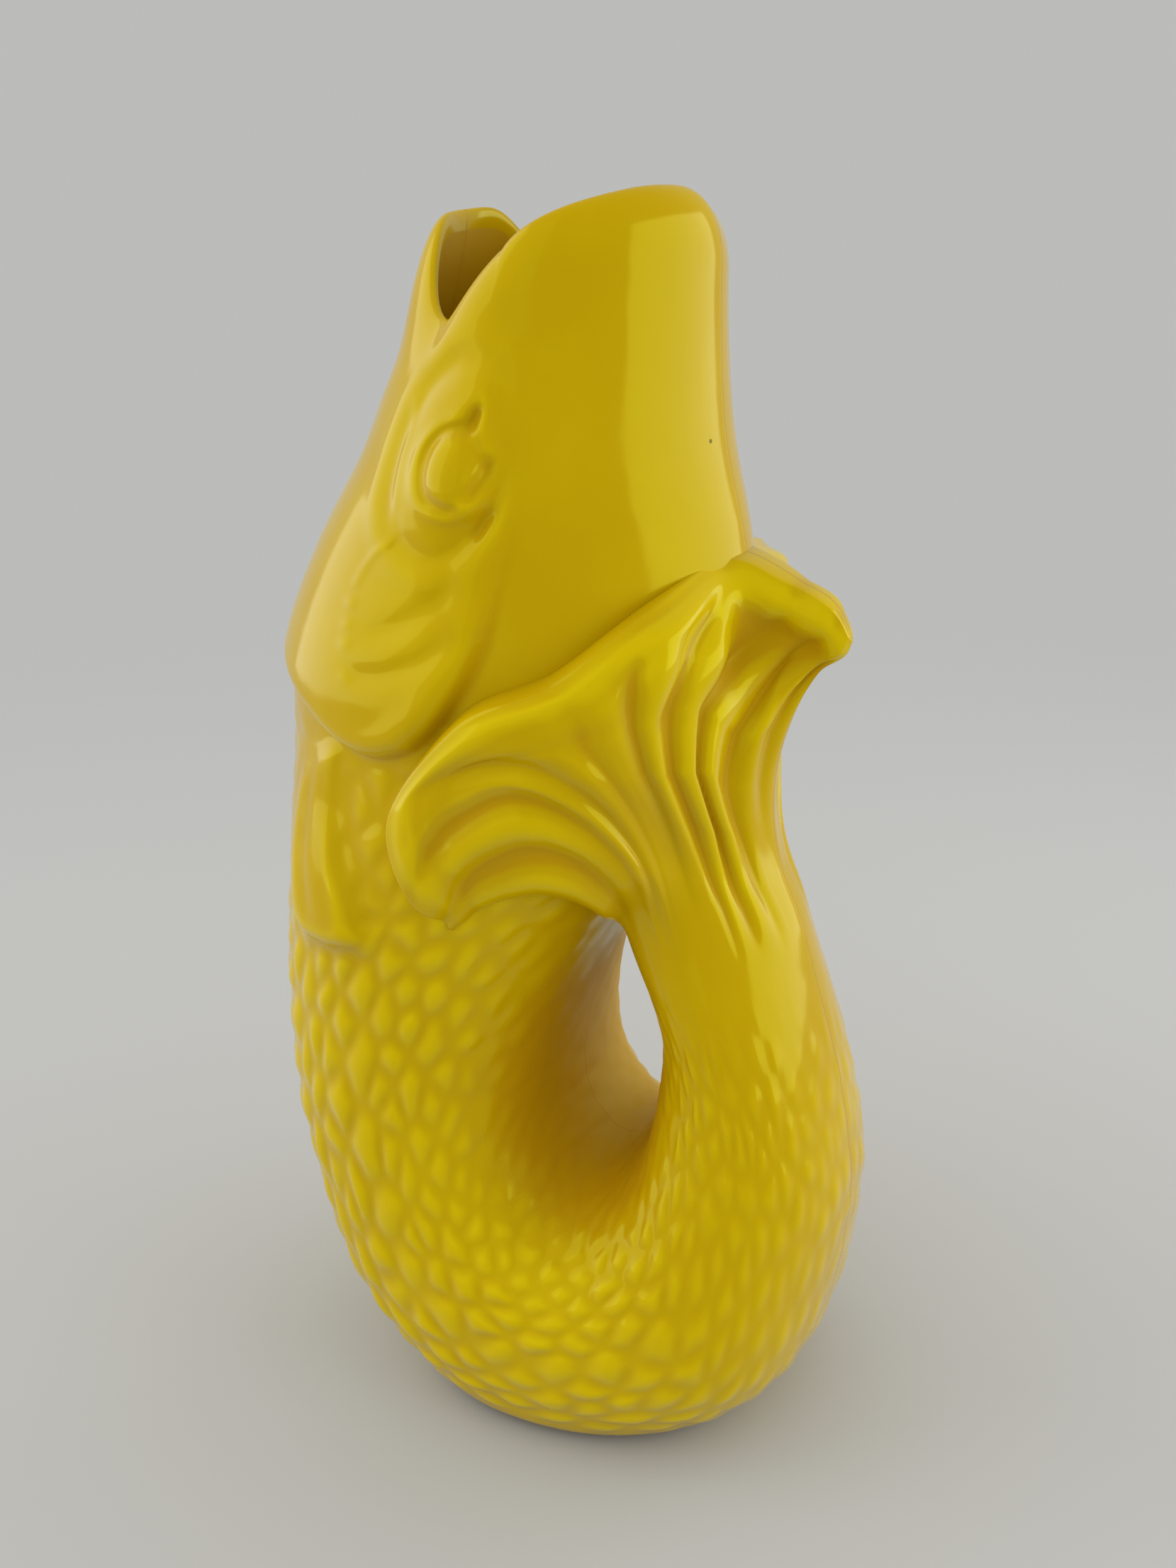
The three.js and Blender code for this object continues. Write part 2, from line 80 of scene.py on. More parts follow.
def skin(station, degrees, offset=0.0):
    """Points of the fish's skin at stations along it and degrees round it, moved out by offset."""
    row = along_curve(SECTIONS, station)
    nape, throat, half = row[..., 0:2], row[..., 2:4], row[..., 4]
    axis = nape - throat
    depth = np.linalg.norm(axis, axis=-1)
    axis = axis / depth[..., None]
    cos, sin = np.cos(np.radians(degrees)), np.sin(np.radians(degrees))
    power = np.where(cos < 0, row[..., 5], row[..., 6])
    across = (depth / 2 + offset) * np.sign(cos) * np.abs(cos) ** power
    sideways = (half + offset) * np.sign(sin) * np.abs(sin) ** power
    middle = (nape + throat) / 2
    height = np.maximum(middle[..., 1] + axis[..., 1] * across, UNDERSIDE - offset)
    return np.stack([middle[..., 0] + axis[..., 0] * across, sideways, height], -1)


def ease(value, low, high):
    t = np.clip((value - low) / (high - low), 0, 1)
    return t * t * (3 - 2 * t)


# The skin's net of points, from the rounded lip down to the tail's end. Its columns are closer together
# over the face. The lips dip into a notch at each corner of the mouth, and bend inwards most at the nape,
# where the rim, trimmed by hand, is a little lower on the far side.
AROUND = 320
HEAD_JOINT, TAIL_JOINT = 5.0, 11.7
HEAD_ROWS, BODY_ROWS, TAIL_ROWS = 196, 226, 112
LIP_ROWS = 16
LIP_ROUND, LIP_ROUND_INSIDE, LIP_UNDERCUT, LIP_CREST = 13.0, 4.5, 14.0, 0.72
LIP_BEND_NAPE, LIP_BEND_THROAT, LIP_CLEAR, LIP_WARP = 10, 5.5, 0.2, 6.0
LIP_SMOOTHING = 16
NOTCH_DEPTH, NOTCH_AT, NOTCH_TO_NAPE, NOTCH_TO_THROAT = 28, 112, 28, 52
THROAT_LIP_DROP, NAPE_LIP_DROP, NAPE_LIP_WIDTH = 8, 2, 40

turned = np.linspace(0, 180, 3001)
crowding = np.cumsum(1 + 0.9 * np.exp(-((turned - 92) / 30) ** 2))
crowding = (crowding - crowding[0]) / (crowding[-1] - crowding[0])
one_side = np.interp(np.linspace(0, 1, AROUND // 2 + 1), crowding, turned)
COLUMNS = np.concatenate([one_side, -one_side[-2:0:-1]])

round_from_nape = np.abs(COLUMNS)
past_notch = round_from_nape - NOTCH_AT
station_mm = np.linalg.norm(skin(0, 0) - skin(1, 0))
lip_drop = np.where(
    past_notch < 0,
    NOTCH_DEPTH * np.exp(np.minimum(past_notch, 0) / NOTCH_TO_NAPE),
    NOTCH_DEPTH + (THROAT_LIP_DROP - NOTCH_DEPTH) * ease(past_notch, 0, NOTCH_TO_THROAT),
)
lip_drop += NAPE_LIP_DROP * (1 - ease(round_from_nape, 0, NAPE_LIP_WIDTH)) + LIP_CLEAR
lip_drop += LIP_WARP * ease(COLUMNS, -15, 22) * (1 - ease(COLUMNS, 60, 105))
for _ in range(LIP_SMOOTHING):
    lip_drop = (np.roll(lip_drop, 1) + 2 * lip_drop + np.roll(lip_drop, -1)) / 4
LIP = lip_drop / station_mm
LIP_BEND = LIP_BEND_NAPE + (LIP_BEND_THROAT - LIP_BEND_NAPE) * ease(round_from_nape, 0, 2 * NAPE_LIP_WIDTH)

bend = np.linspace(np.pi / 2, 0, LIP_ROWS, endpoint=False)[:, None]
lip_stations = LIP + (1 - np.sin(bend)) * LIP_ROUND / station_mm
head_stations = np.linspace(0, 1, HEAD_ROWS + 1)[:, None]
head_stations = (LIP + LIP_ROUND / station_mm) * (1 - head_stations) + HEAD_JOINT * head_stations
body_stations = np.linspace(HEAD_JOINT, TAIL_JOINT, BODY_ROWS + 1)[1:, None] + 0 * LIP
tail_stations = np.linspace(TAIL_JOINT, TAIL_END, TAIL_ROWS + 1)[1:, None] + 0 * LIP
STATION = np.concatenate([lip_stations, head_stations, body_stations, tail_stations])
INWARDS = np.zeros_like(STATION)
INWARDS[:LIP_ROWS] = -LIP_CREST * LIP_BEND * (1 - np.cos(bend))
DEGREES = np.broadcast_to(COLUMNS, STATION.shape)
TURN = np.abs(DEGREES)
smooth_skin = skin(STATION, DEGREES, INWARDS)
one_half = np.stack([smooth_skin[..., 0], np.abs(smooth_skin[..., 1]), smooth_skin[..., 2]], -1)


# The face, modelled in relief on the mould: a gill cover on each cheek that overhangs the body, an eye in
# a teardrop socket, and grooves and ridges under it. Places are [station, degrees round from the nape].
GILL_COVER = np.array([
    [1.05, 78], [1.46, 71], [1.95, 68], [2.58, 69], [3.14, 71], [3.67, 74], [4.13, 79], [4.5, 86],
    [4.72, 97], [4.67, 109], [4.42, 123], [4.2, 140], [4.05, 156], [3.9, 169], [3.2, 171], [2.4, 170],
    [1.7, 165], [1.3, 150], [1.15, 132], [1.2, 115], [1.22, 100], [1.1, 88],
])
EYE = np.array([2.08, 90.5])
SOCKET = np.array([
    [1.3, 82], [1.55, 77], [1.8, 74.5], [2.0, 73.5], [2.2, 74], [2.45, 76], [2.62, 79.5], [2.76, 85],
    [2.81, 91], [2.76, 97], [2.62, 104], [2.45, 109], [2.3, 112], [2.1, 113.5], [1.88, 113.5],
    [1.65, 111.5], [1.45, 108], [1.28, 102], [1.2, 96],
])
LID = np.array([
    [1.46, 84], [1.66, 82], [1.82, 79], [2.0, 76.5], [2.15, 77], [2.3, 79.5], [2.4, 84], [2.43, 89],
    [2.38, 95], [2.26, 99.5], [2.1, 102], [1.93, 102], [1.79, 99], [1.7, 94],
])
LID_GROOVE = np.array([
    [1.5, 85.5], [1.68, 89], [1.74, 95], [1.84, 98.5], [2.0, 99.5], [2.15, 98.5], [2.28, 95.5],
    [2.35, 91], [2.37, 86], [2.3, 82],
])
TEAR_SLIT = np.array([[1.5, 83.5], [1.6, 84.5], [1.7, 85.5], [1.8, 87]])
LID_SLIT = np.array([[2.32, 83], [2.24, 80.5], [2.12, 78.5], [2.0, 77.5], [1.88, 77.5]])
SOCKET_SLIT = np.array([[2.65, 79.5], [2.58, 77.5], [2.45, 75.5], [2.3, 73.5]])
UPPER_ARC = np.array([[2.85, 80], [2.95, 82.5], [3.15, 85], [3.3, 91], [3.45, 97], [3.52, 103], [3.5, 109]])
LOWER_ARC = np.array([[3.35, 77.5], [3.5, 80], [3.65, 84], [3.8, 92], [3.9, 98], [3.92, 106], [3.85, 112]])
GLAZE_RUN = np.array([[1.45, 112.5], [1.7, 111], [2.05, 111], [2.35, 108], [2.55, 106], [2.68, 102.5]])
GLAZE_RUN_LOW = np.array([[2.7, 103.5], [2.75, 107], [2.9, 110], [3.05, 111.5], [3.15, 112]])
GLAZE_BEADS = np.array([[3.27, 111.5], [3.47, 110.5], [3.65, 109.5], [3.96, 107.5]])
LINE_MARKS, POINT_GROUPS = 720, 24


def distance_to(line, where):
    """Distance in mm from chosen points of the skin to a line on it, and the nearest place on the line."""
    ends = np.linspace(0, len(line) - 1, LINE_MARKS)
    spots = along_curve(line, ends)
    marks = skin(spots[:, 0], spots[:, 1])
    far, place = [], []
    for points in np.array_split(one_half[where], POINT_GROUPS):
        square = (points ** 2).sum(1)[:, None] + (marks ** 2).sum(1) - 2 * points @ marks.T
        far.append(np.sqrt(np.maximum(square.min(1), 0)))
        place.append(square.argmin(1) / (len(ends) - 1))
    return np.concatenate(far), np.concatenate(place)


def inside_outline(outline, where):
    """True for the chosen points of the skin that lie inside a closed outline."""
    k, a = STATION[where], TURN[where]
    crossed = np.zeros(len(k), bool)
    for (k1, a1), (k2, a2) in zip(outline, np.roll(outline, -1, 0)):
        between = (a1 > a) != (a2 > a)
        with np.errstate(divide="ignore", invalid="ignore"):
            crossed ^= between & (k < (k2 - k1) * (a - a1) / (a2 - a1) + k1)
    return crossed


def stroke(line, where, height, half_width, taper=0.0):
    """Relief of a rounded ridge, or of a groove if height is negative, that thins out at its ends."""
    far, place = distance_to(line, where)
    strength = ease(place, 0, taper) * ease(1 - place, 0, taper) if taper else 1.0
    return height * strength * np.exp(-(far / half_width) ** 2)


def closed_line(outline, count):
    return along_curve(outline, np.linspace(0, len(outline), count), closed=True)


face = (STATION < 5.2) & (TURN > 55)
k, a = STATION[face], TURN[face]
outline = closed_line(GILL_COVER, 240)
from_edge, _ = distance_to(outline, face)
within = inside_outline(outline, face)
from_edge = np.where(within, from_edge, -from_edge)
swell = 1.3 * ease(k, 0.4, 2) + 3.7 * ease(k, 2.7, 4.4) * (1 - 0.5 * ease(a, 110, 160))
fold = np.sqrt(1 - (1 - np.clip(from_edge / 5.5, 0, 1)) ** 2)
melt = ease(from_edge, -2, 11)
crispness = ease(k, 1.5, 2.6) * (1 - ease(a, 128, 160) * (1 - ease(k, 3.4, 4.0)))
relief = swell * (melt + (fold - melt) * crispness)
relief += 0.7 * np.exp(-((from_edge - 5) / 3.2) ** 2) * ease(k, 0.9, 1.8) * (1 - ease(a, 92, 112))
relief -= 0.5 * np.exp(-((from_edge + 0.8) / 1.8) ** 2) * ease(k, 3.2, 4.3)

eye_middle = skin(*EYE)
eye_along = skin(EYE[0] + 0.2, EYE[1]) - skin(EYE[0] - 0.2, EYE[1])
eye_round = skin(EYE[0], EYE[1] + 5) - skin(EYE[0], EYE[1] - 5)
u = (one_half[face] - eye_middle) @ (eye_along / np.linalg.norm(eye_along))
v = (one_half[face] - eye_middle) @ (eye_round / np.linalg.norm(eye_round))
socket_line = closed_line(SOCKET, 160)
from_socket, place = distance_to(socket_line, face)
in_socket = inside_outline(socket_line, face)
deeper = np.exp(-((place - 0.26) / 0.1) ** 2)
open_top = 1 - 0.85 * np.exp(-((np.abs(place - 0.5) - 0.5) / 0.07) ** 2)
relief -= (0.55 + 1.0 * deeper) * np.exp(-(from_socket / 2.4) ** 2) * open_top
relief += np.where(in_socket, 1.3 * ease(from_socket, 0, 10), 0)
relief += np.where(in_socket, 0, 0.45 * np.exp(-((from_socket - 5) / 3.2) ** 2))
relief += stroke(closed_line(LID, 120), face, 0.85, 2.0)
ball = np.hypot((u - 0.6) / 10.0, (v - 0.12 * u) / (7.8 + 0.18 * u))
relief += 2.7 * np.maximum(1 - ball ** 2, 0)
relief += stroke(LID_GROOVE, face, -1.3, 1.4, 0.12)
relief += stroke(TEAR_SLIT, face, -1.7, 1.1, 0.4)
relief += stroke(LID_SLIT, face, -2.2, 1.4, 0.35)
relief += stroke(SOCKET_SLIT, face, -1.3, 1.2, 0.4)
relief += stroke(UPPER_ARC, face, -0.8, 2.8, 0.3)
relief += stroke(LOWER_ARC, face, -0.8, 2.5, 0.3)
relief += stroke(GLAZE_RUN, face, 0.4, 1.1, 0.1) + stroke(GLAZE_RUN_LOW, face, 0.4, 1.0, 0.1)
for bead in GLAZE_BEADS:
    relief += 0.5 * np.exp(-(np.linalg.norm(one_half[face] - skin(*bead), axis=1) / 1.6) ** 2)
FACE_RELIEF = np.zeros_like(STATION)
FACE_RELIEF[face] = relief
COVERED = np.zeros_like(STATION)
COVERED[face] = ease(from_edge, -3, 0.5)


# The breast fins, modelled on the mould too: short ribbed fins that come out from under the gill covers
# and lie back along the belly.
BREAST_FIN = np.array([
    [4.75, 113], [5.25, 112.5], [5.48, 110], [5.73, 106.5], [5.93, 102], [6.18, 97.5], [6.38, 94.5],
    [6.45, 99], [6.43, 109], [6.36, 121], [6.1, 130], [5.6, 137], [5.0, 136], [4.78, 125],
])
BREAST_FIN_GROOVES = [
    np.array([[4.7, 111.5], [4.95, 112], [5.25, 111], [5.45, 108.5], [5.7, 105], [5.9, 100.5], [6.3, 93.5]]),
    np.array([[4.75, 116.5], [5.2, 116.5], [5.6, 113], [6.0, 106.5], [6.3, 100]]),
    np.array([[4.8, 122.5], [5.2, 122.5], [5.7, 120], [6.05, 115], [6.35, 110]]),
    np.array([[4.8, 130], [5.3, 130.5], [5.8, 128], [6.2, 123]]),
]

belly = (STATION > 4.4) & (STATION < 7.2) & (TURN > 80) & (TURN < 155)
outline = closed_line(BREAST_FIN, 160)
from_edge, _ = distance_to(outline, belly)
from_edge = np.where(inside_outline(outline, belly), from_edge, -from_edge)
edge_width = 4 + 7 * ease(TURN[belly], 112, 128)
fold = ease(from_edge, -2.0, edge_width)
breast_relief = fold * (1.6 + 1.8 * ease(STATION[belly], 4.9, 6.2))
for groove, depth in zip(BREAST_FIN_GROOVES, (1.1, 0.4, 0.6, 0.6)):
    breast_relief -= stroke(groove, belly, depth, 1.9, 0.25)
FACE_RELIEF[belly] = np.maximum(FACE_RELIEF[belly], breast_relief)
COVERED[belly] = np.maximum(COVERED[belly], ease(from_edge, -5, 1.5))


def smoothed_over(relief, passes):
    """Relief with its corners softened, as a thick glaze leaves them."""
    for _ in range(passes):
        relief = (np.roll(relief, 1, 1) + 2 * relief + np.roll(relief, -1, 1)) / 4
        longer = np.concatenate([relief[:1], relief, relief[-1:]])
        relief = (longer[:-2] + 2 * relief + longer[2:]) / 4
    return relief


FACE_RELIEF = smoothed_over(FACE_RELIEF, 2)
shaped_skin = skin(STATION, DEGREES, INWARDS + FACE_RELIEF)


# The scales: soft, uneven pillows pressed into the mould, each a little higher towards the tail and half
# drowned in glaze. They fade out under the gills, at the foot and where the tail turns into its fin.
SCALE_DEPTH = 0.0019
SCALE_LENGTH, SCALE_WIDTH, SCALE_UNEVEN = 0.56, 13.0, 0.62


def outward_normals(net):
    """Unit normals of a net of points that is closed round its columns."""
    down = np.gradient(net, axis=0)
    side = np.roll(net, -1, 1) - np.roll(net, 1, 1)
    normal = np.cross(side, down)
    normal /= np.maximum(np.linalg.norm(normal, axis=-1, keepdims=True), 1e-9)
    middle = net.mean(1, keepdims=True)
    return normal * np.sign(((net - middle) * normal).sum())


def net_faces(rows, columns, closed_rows=False):
    """Quads of a net closed round its columns, and round its rows too if it is a ring of rings."""
    i = np.arange(rows if closed_rows else rows - 1)[:, None]
    j = np.arange(columns)[None, :]
    below, beside = (i + 1) % rows, (j + 1) % columns
    corners = [i * columns + j, below * columns + j, below * columns + beside, i * columns + beside]
    return np.stack(np.broadcast_arrays(*corners), -1).reshape(-1, 4)


def new_piece(name, points, faces):
    """Object at the origin from points in mm and faces."""
    mesh = bpy.data.meshes.new(name)
    mesh.from_pydata((points.reshape(-1, 3) * 0.001).tolist(), [], faces.tolist())
    piece = bpy.data.objects.new(name, mesh)
    bpy.context.scene.collection.objects.link(piece)
    return piece


def note(piece, name, values):
    """Stores a number or a vector for each point of a piece."""
    is_vector = values.ndim > 1 and values.shape[-1] == 3
    kind, field = ("FLOAT_VECTOR", "vector") if is_vector else ("FLOAT", "value")
    layer = piece.data.attributes.new(name, kind, "POINT")
    layer.data.foreach_set(field, values.astype(np.float32).ravel())


def settle(piece):
    """Turns the piece's modifiers into its plain mesh."""
    depsgraph = bpy.context.evaluated_depsgraph_get()
    made = bpy.data.meshes.new_from_object(piece.evaluated_get(depsgraph), depsgraph=depsgraph)
    piece.modifiers.clear()
    piece.data = made


def maths(tree, operation, *values):
    """A maths node fed by sockets or plain numbers; returns what it puts out."""
    node = tree.nodes.new("ShaderNodeMath")
    node.operation = operation
    for socket, value in zip(node.inputs, values):
        if isinstance(value, bpy.types.NodeSocket):
            tree.links.new(value, socket)
        else:
            socket.default_value = value
    return node.outputs[0]


def eased(tree, value, low, high):
    node = tree.nodes.new("ShaderNodeMapRange")
    node.interpolation_type = "SMOOTHSTEP"
    tree.links.new(value, node.inputs["Value"])
    node.inputs["From Min"].default_value = low
    node.inputs["From Max"].default_value = high
    return node.outputs[0]


def stored(tree, name, kind="FLOAT"):
    node = tree.nodes.new("GeometryNodeInputNamedAttribute")
    node.data_type = kind
    node.inputs["Name"].default_value = name
    return node.outputs[0]


def relief_tree(name, sizes):
    """Start of a tree that lifts a piece's points: its group input and a way to end it."""
    tree = bpy.data.node_groups.new(name, "GeometryNodeTree")
    tree.interface.new_socket("Geometry", in_out="INPUT", socket_type="NodeSocketGeometry")
    for size, value in sizes.items():
        socket = tree.interface.new_socket(size, in_out="INPUT", socket_type="NodeSocketFloat")
        socket.default_value = value
    tree.interface.new_socket("Material", in_out="INPUT", socket_type="NodeSocketMaterial")
    tree.interface.new_socket("Geometry", in_out="OUTPUT", socket_type="NodeSocketGeometry")
    return tree, tree.nodes.new("NodeGroupInput")


def end_relief(tree, given, height):
    """Moves the points out by the height, then realizes and sets the material."""
    lift = tree.nodes.new("ShaderNodeVectorMath")
    lift.operation = "SCALE"
    tree.links.new(stored(tree, "outward", "FLOAT_VECTOR"), lift.inputs[0])
    tree.links.new(height, lift.inputs["Scale"])
    move = tree.nodes.new("GeometryNodeSetPosition")
    tree.links.new(given.outputs["Geometry"], move.inputs["Geometry"])
    tree.links.new(lift.outputs[0], move.inputs["Offset"])
    real = tree.nodes.new("GeometryNodeRealizeInstances")
    tree.links.new(move.outputs[0], real.inputs[0])
    dress = tree.nodes.new("GeometryNodeSetMaterial")
    tree.links.new(real.outputs[0], dress.inputs["Geometry"])
    tree.links.new(given.outputs["Material"], dress.inputs["Material"])
    out = tree.nodes.new("NodeGroupOutput")
    tree.links.new(dress.outputs[0], out.inputs[0])


def apply_tree(piece, tree, values):
    """Puts a tree on a piece with its inputs set, and turns the result into a plain mesh."""
    modifier = piece.modifiers.new(tree.name, "NODES")
    modifier.node_group = tree
    for item in tree.interface.items_tree:
        if item.in_out == "INPUT" and item.name in values:
            modifier[item.identifier] = values[item.name]
    settle(piece)


scale_sizes = {"Depth": SCALE_DEPTH, "Length": SCALE_LENGTH, "Width": SCALE_WIDTH, "Uneven": SCALE_UNEVEN}
scales, given = relief_tree("scales", scale_sizes)
along = maths(scales, "DIVIDE", stored(scales, "along"), given.outputs["Length"])
around = maths(scales, "DIVIDE", stored(scales, "around"), given.outputs["Width"])
lattice = scales.nodes.new("ShaderNodeCombineXYZ")
scales.links.new(maths(scales, "ADD", along, around), lattice.inputs["X"])
scales.links.new(maths(scales, "SUBTRACT", along, around), lattice.inputs["Y"])
cells = {}
for feature in ("DISTANCE_TO_EDGE", "F1"):
    cell = scales.nodes.new("ShaderNodeTexVoronoi")
    cell.voronoi_dimensions = "2D"
    cell.feature = feature
    cell.inputs["Scale"].default_value = 1.0
    scales.links.new(lattice.outputs[0], cell.inputs["Vector"])
    scales.links.new(given.outputs["Uneven"], cell.inputs["Randomness"])
    cells[feature] = cell
pillow = eased(scales, cells["DISTANCE_TO_EDGE"].outputs["Distance"], -0.02, 0.42)
centre = scales.nodes.new("ShaderNodeSeparateXYZ")
scales.links.new(cells["F1"].outputs["Position"], centre.inputs[0])
cell_along = maths(scales, "MULTIPLY", maths(scales, "ADD", centre.outputs["X"], centre.outputs["Y"]), 0.5)
lean = maths(scales, "MULTIPLY_ADD", maths(scales, "SUBTRACT", along, cell_along), 0.5, 0.8)
chance = scales.nodes.new("ShaderNodeSeparateXYZ")
scales.links.new(cells["F1"].outputs["Color"], chance.inputs[0])
uneven = maths(scales, "MULTIPLY_ADD", chance.outputs["X"], 0.4, 0.75)
top = maths(scales, "MULTIPLY", maths(scales, "MULTIPLY", pillow, lean), uneven)
drowned = scales.nodes.new("GeometryNodeBlurAttribute")
drowned.inputs["Iterations"].default_value = 5
scales.links.new(maths(scales, "MINIMUM", top, 1.0), drowned.inputs["Value"])
sunk = maths(scales, "MULTIPLY", maths(scales, "SUBTRACT", drowned.outputs[0], 1.0), given.outputs["Depth"])
end_relief(scales, given, maths(scales, "MULTIPLY", sunk, stored(scales, "scaled")))

scale_mask_and_light = ease(STATION, 4.4, 5.0) * (0.45 + 0.55 * ease(STATION, 5.6, 7.0)) * (0.25 + 0.75 * ease(TURN, 25, 75))
scale_mask_and_light *= (1 - 0.5 * ease(STATION, 11.2, 12.6)) * (1 - ease(STATION, 13.9, 15))
scale_mask_and_light *= ease(smooth_skin[..., 2], UNDERSIDE + 1, UNDERSIDE + 9) * (1 - COVERED)
whole_skin = new_piece("whole_skin", shaped_skin, net_faces(*STATION.shape))
note(whole_skin, "along", STATION.ravel())
note(whole_skin, "around", TURN.ravel())
note(whole_skin, "scaled", scale_mask_and_light.ravel())
note(whole_skin, "outward", outward_normals(smooth_skin).reshape(-1, 3))
apply_tree(whole_skin, scales, scale_sizes)
finished = np.empty(STATION.size * 3, np.float32)
whole_skin.data.vertices.foreach_get("co", finished)
finished = finished.reshape(*STATION.shape, 3).astype(float) * 1000
bpy.data.objects.remove(whole_skin)


# The glaze: one coat of glossy, opaque yellow over the whole fish. It runs thin and pale over the crests
# and gathers deeper in the hollows, with faint mottling, a few pinholes and a trace of the mould's seam.
# The deeper colour is also painted shade in the handle's loop, inside the wall and in the blade's hollow,
# and the paler colour is partly painted light over the scaled belly.
POOL_REACH, POOL_FULL = 4, 0.5


def glaze_tone(net, smooth):
    """How far each point lies in a hollow of the relief, from -1 on a crest to 1 in a crease."""
    def sag(points):
        blurred = points.copy()
        for axis, closed in ((0, False), (1, True)):
            total = np.zeros_like(blurred)
            for step in range(-POOL_REACH, POOL_REACH + 1):
                if closed:
                    total += np.roll(blurred, step, axis)
                else:
                    rows = np.clip(np.arange(len(blurred)) + step, 0, len(blurred) - 1)
                    total += blurred[rows]
            blurred = total / (2 * POOL_REACH + 1)
        return ((blurred - points) * outward_normals(points)).sum(-1)
    return np.clip((sag(net) - sag(smooth)) / POOL_FULL, -1, 1)


mottle = bpy.data.node_groups.new("glaze_flow", "ShaderNodeTree")
for label in ("Mottle Size", "Ripple Size", "Pinhole Size"):
    mottle.interface.new_socket(label, in_out="INPUT", socket_type="NodeSocketFloat")
for label in ("Cloud", "Ripple", "Pinhole"):
    mottle.interface.new_socket(label, in_out="OUTPUT", socket_type="NodeSocketFloat")
sizes = mottle.nodes.new("NodeGroupInput")
results = mottle.nodes.new("NodeGroupOutput")
place = mottle.nodes.new("ShaderNodeTexCoord").outputs["Object"]
for label, source, detail in (("Cloud", "Mottle Size", 3.0), ("Ripple", "Ripple Size", 1.0)):
    noise = mottle.nodes.new("ShaderNodeTexNoise")
    mottle.links.new(place, noise.inputs["Vector"])
    mottle.links.new(sizes.outputs[source], noise.inputs["Scale"])
    noise.inputs["Detail"].default_value = detail
    mottle.links.new(noise.outputs[0], results.inputs[label])
cells = mottle.nodes.new("ShaderNodeTexVoronoi")
mottle.links.new(place, cells.inputs["Vector"])
mottle.links.new(sizes.outputs["Pinhole Size"], cells.inputs["Scale"])
hole = eased(mottle, maths(mottle, "MULTIPLY", cells.outputs["Distance"], -1.0), -0.016, -0.008)
split = mottle.nodes.new("ShaderNodeSeparateColor")
mottle.links.new(cells.outputs["Color"], split.inputs[0])
rare = maths(mottle, "GREATER_THAN", split.outputs[0], 0.8)
mottle.links.new(maths(mottle, "MULTIPLY", hole, rare), results.inputs["Pinhole"])

# The thin colour also serves as painted light over the scales, and the deep colour as painted shade in the
# loop, inside the wall and in the blade's hollow.
GLAZE_BODY, GLAZE_THIN_AND_LIT, GLAZE_DEEP_AND_SHADED = (0.53, 0.332, 0.001, 1), (0.7, 0.52, 0.001, 1), (0.46, 0.215, 0.001, 1)
PINHOLE_DARK = (0.03, 0.018, 0.006, 1)
glaze = bpy.data.materials.new("yellow_glaze")
glaze.use_nodes = True
coat = glaze.node_tree.nodes["Principled BSDF"]
coat.inputs["IOR"].default_value = 1.62
coat.inputs["Specular Tint"].default_value = (0.78, 1.0, 0.05, 1)
links, nodes = glaze.node_tree.links, glaze.node_tree.nodes
flow = nodes.new("ShaderNodeGroup")
flow.node_tree = mottle
flow.inputs["Mottle Size"].default_value = 26.0
flow.inputs["Ripple Size"].default_value = 95.0
flow.inputs["Pinhole Size"].default_value = 26.0
# The stored tone carries glaze pooling from the relief, and also painted shade and painted light.
glaze_tone_input = nodes.new("ShaderNodeAttribute")
glaze_tone_input.attribute_name = "glaze_tone"


def blended(tree, amount, first, second):
    """Colour between two others."""
    node = tree.nodes.new("ShaderNodeMix")
    node.data_type = "RGBA"
    tree.links.new(amount, node.inputs["Factor"])
    for index, value in ((6, first), (7, second)):
        if isinstance(value, bpy.types.NodeSocket):
            tree.links.new(value, node.inputs[index])
        else:
            node.inputs[index].default_value = value
    return node.outputs[2]


tree = glaze.node_tree
# Paler where the tone is below zero (thin glaze on crests, and painted light over the scales), deeper above
# it (pooled glaze, and painted shade in the loop, inside the wall and in the blade's hollow).
thin_and_lit = eased(tree, maths(tree, "MULTIPLY", glaze_tone_input.outputs["Fac"], -1.0), 0.02, 0.8)
deep_and_shaded = eased(tree, glaze_tone_input.outputs["Fac"], 0.05, 0.9)
cloudy = maths(tree, "MULTIPLY", eased(tree, flow.outputs["Cloud"], 0.35, 0.75), 0.2)
spot = nodes.new("ShaderNodeSeparateXYZ")
links.new(nodes.new("ShaderNodeTexCoord").outputs["Object"], spot.inputs[0])
off_middle = maths(tree, "MULTIPLY", maths(tree, "ABSOLUTE", spot.outputs["Y"]), -1000.0)
seam = eased(tree, off_middle, -0.5, -0.15)
colour = blended(tree, cloudy, GLAZE_BODY, GLAZE_THIN_AND_LIT)
colour = blended(tree, maths(tree, "MULTIPLY", thin_and_lit, 0.6), colour, GLAZE_THIN_AND_LIT)
colour = blended(tree, maths(tree, "MULTIPLY", deep_and_shaded, 0.6), colour, GLAZE_DEEP_AND_SHADED)
colour = blended(tree, maths(tree, "MULTIPLY", seam, 0.5), colour, GLAZE_DEEP_AND_SHADED)
colour = blended(tree, flow.outputs["Pinhole"], colour, PINHOLE_DARK)
links.new(colour, coat.inputs["Base Color"])
bump = nodes.new("ShaderNodeBump")
bump.inputs["Strength"].default_value = 0.35
bump.inputs["Distance"].default_value = 0.0004
pitted = maths(tree, "MULTIPLY", flow.outputs["Pinhole"], 0.6)
surface = maths(tree, "SUBTRACT", flow.outputs["Ripple"], pitted)
surface = maths(tree, "MULTIPLY_ADD", seam, 0.4, surface)
links.new(surface, bump.inputs["Height"])
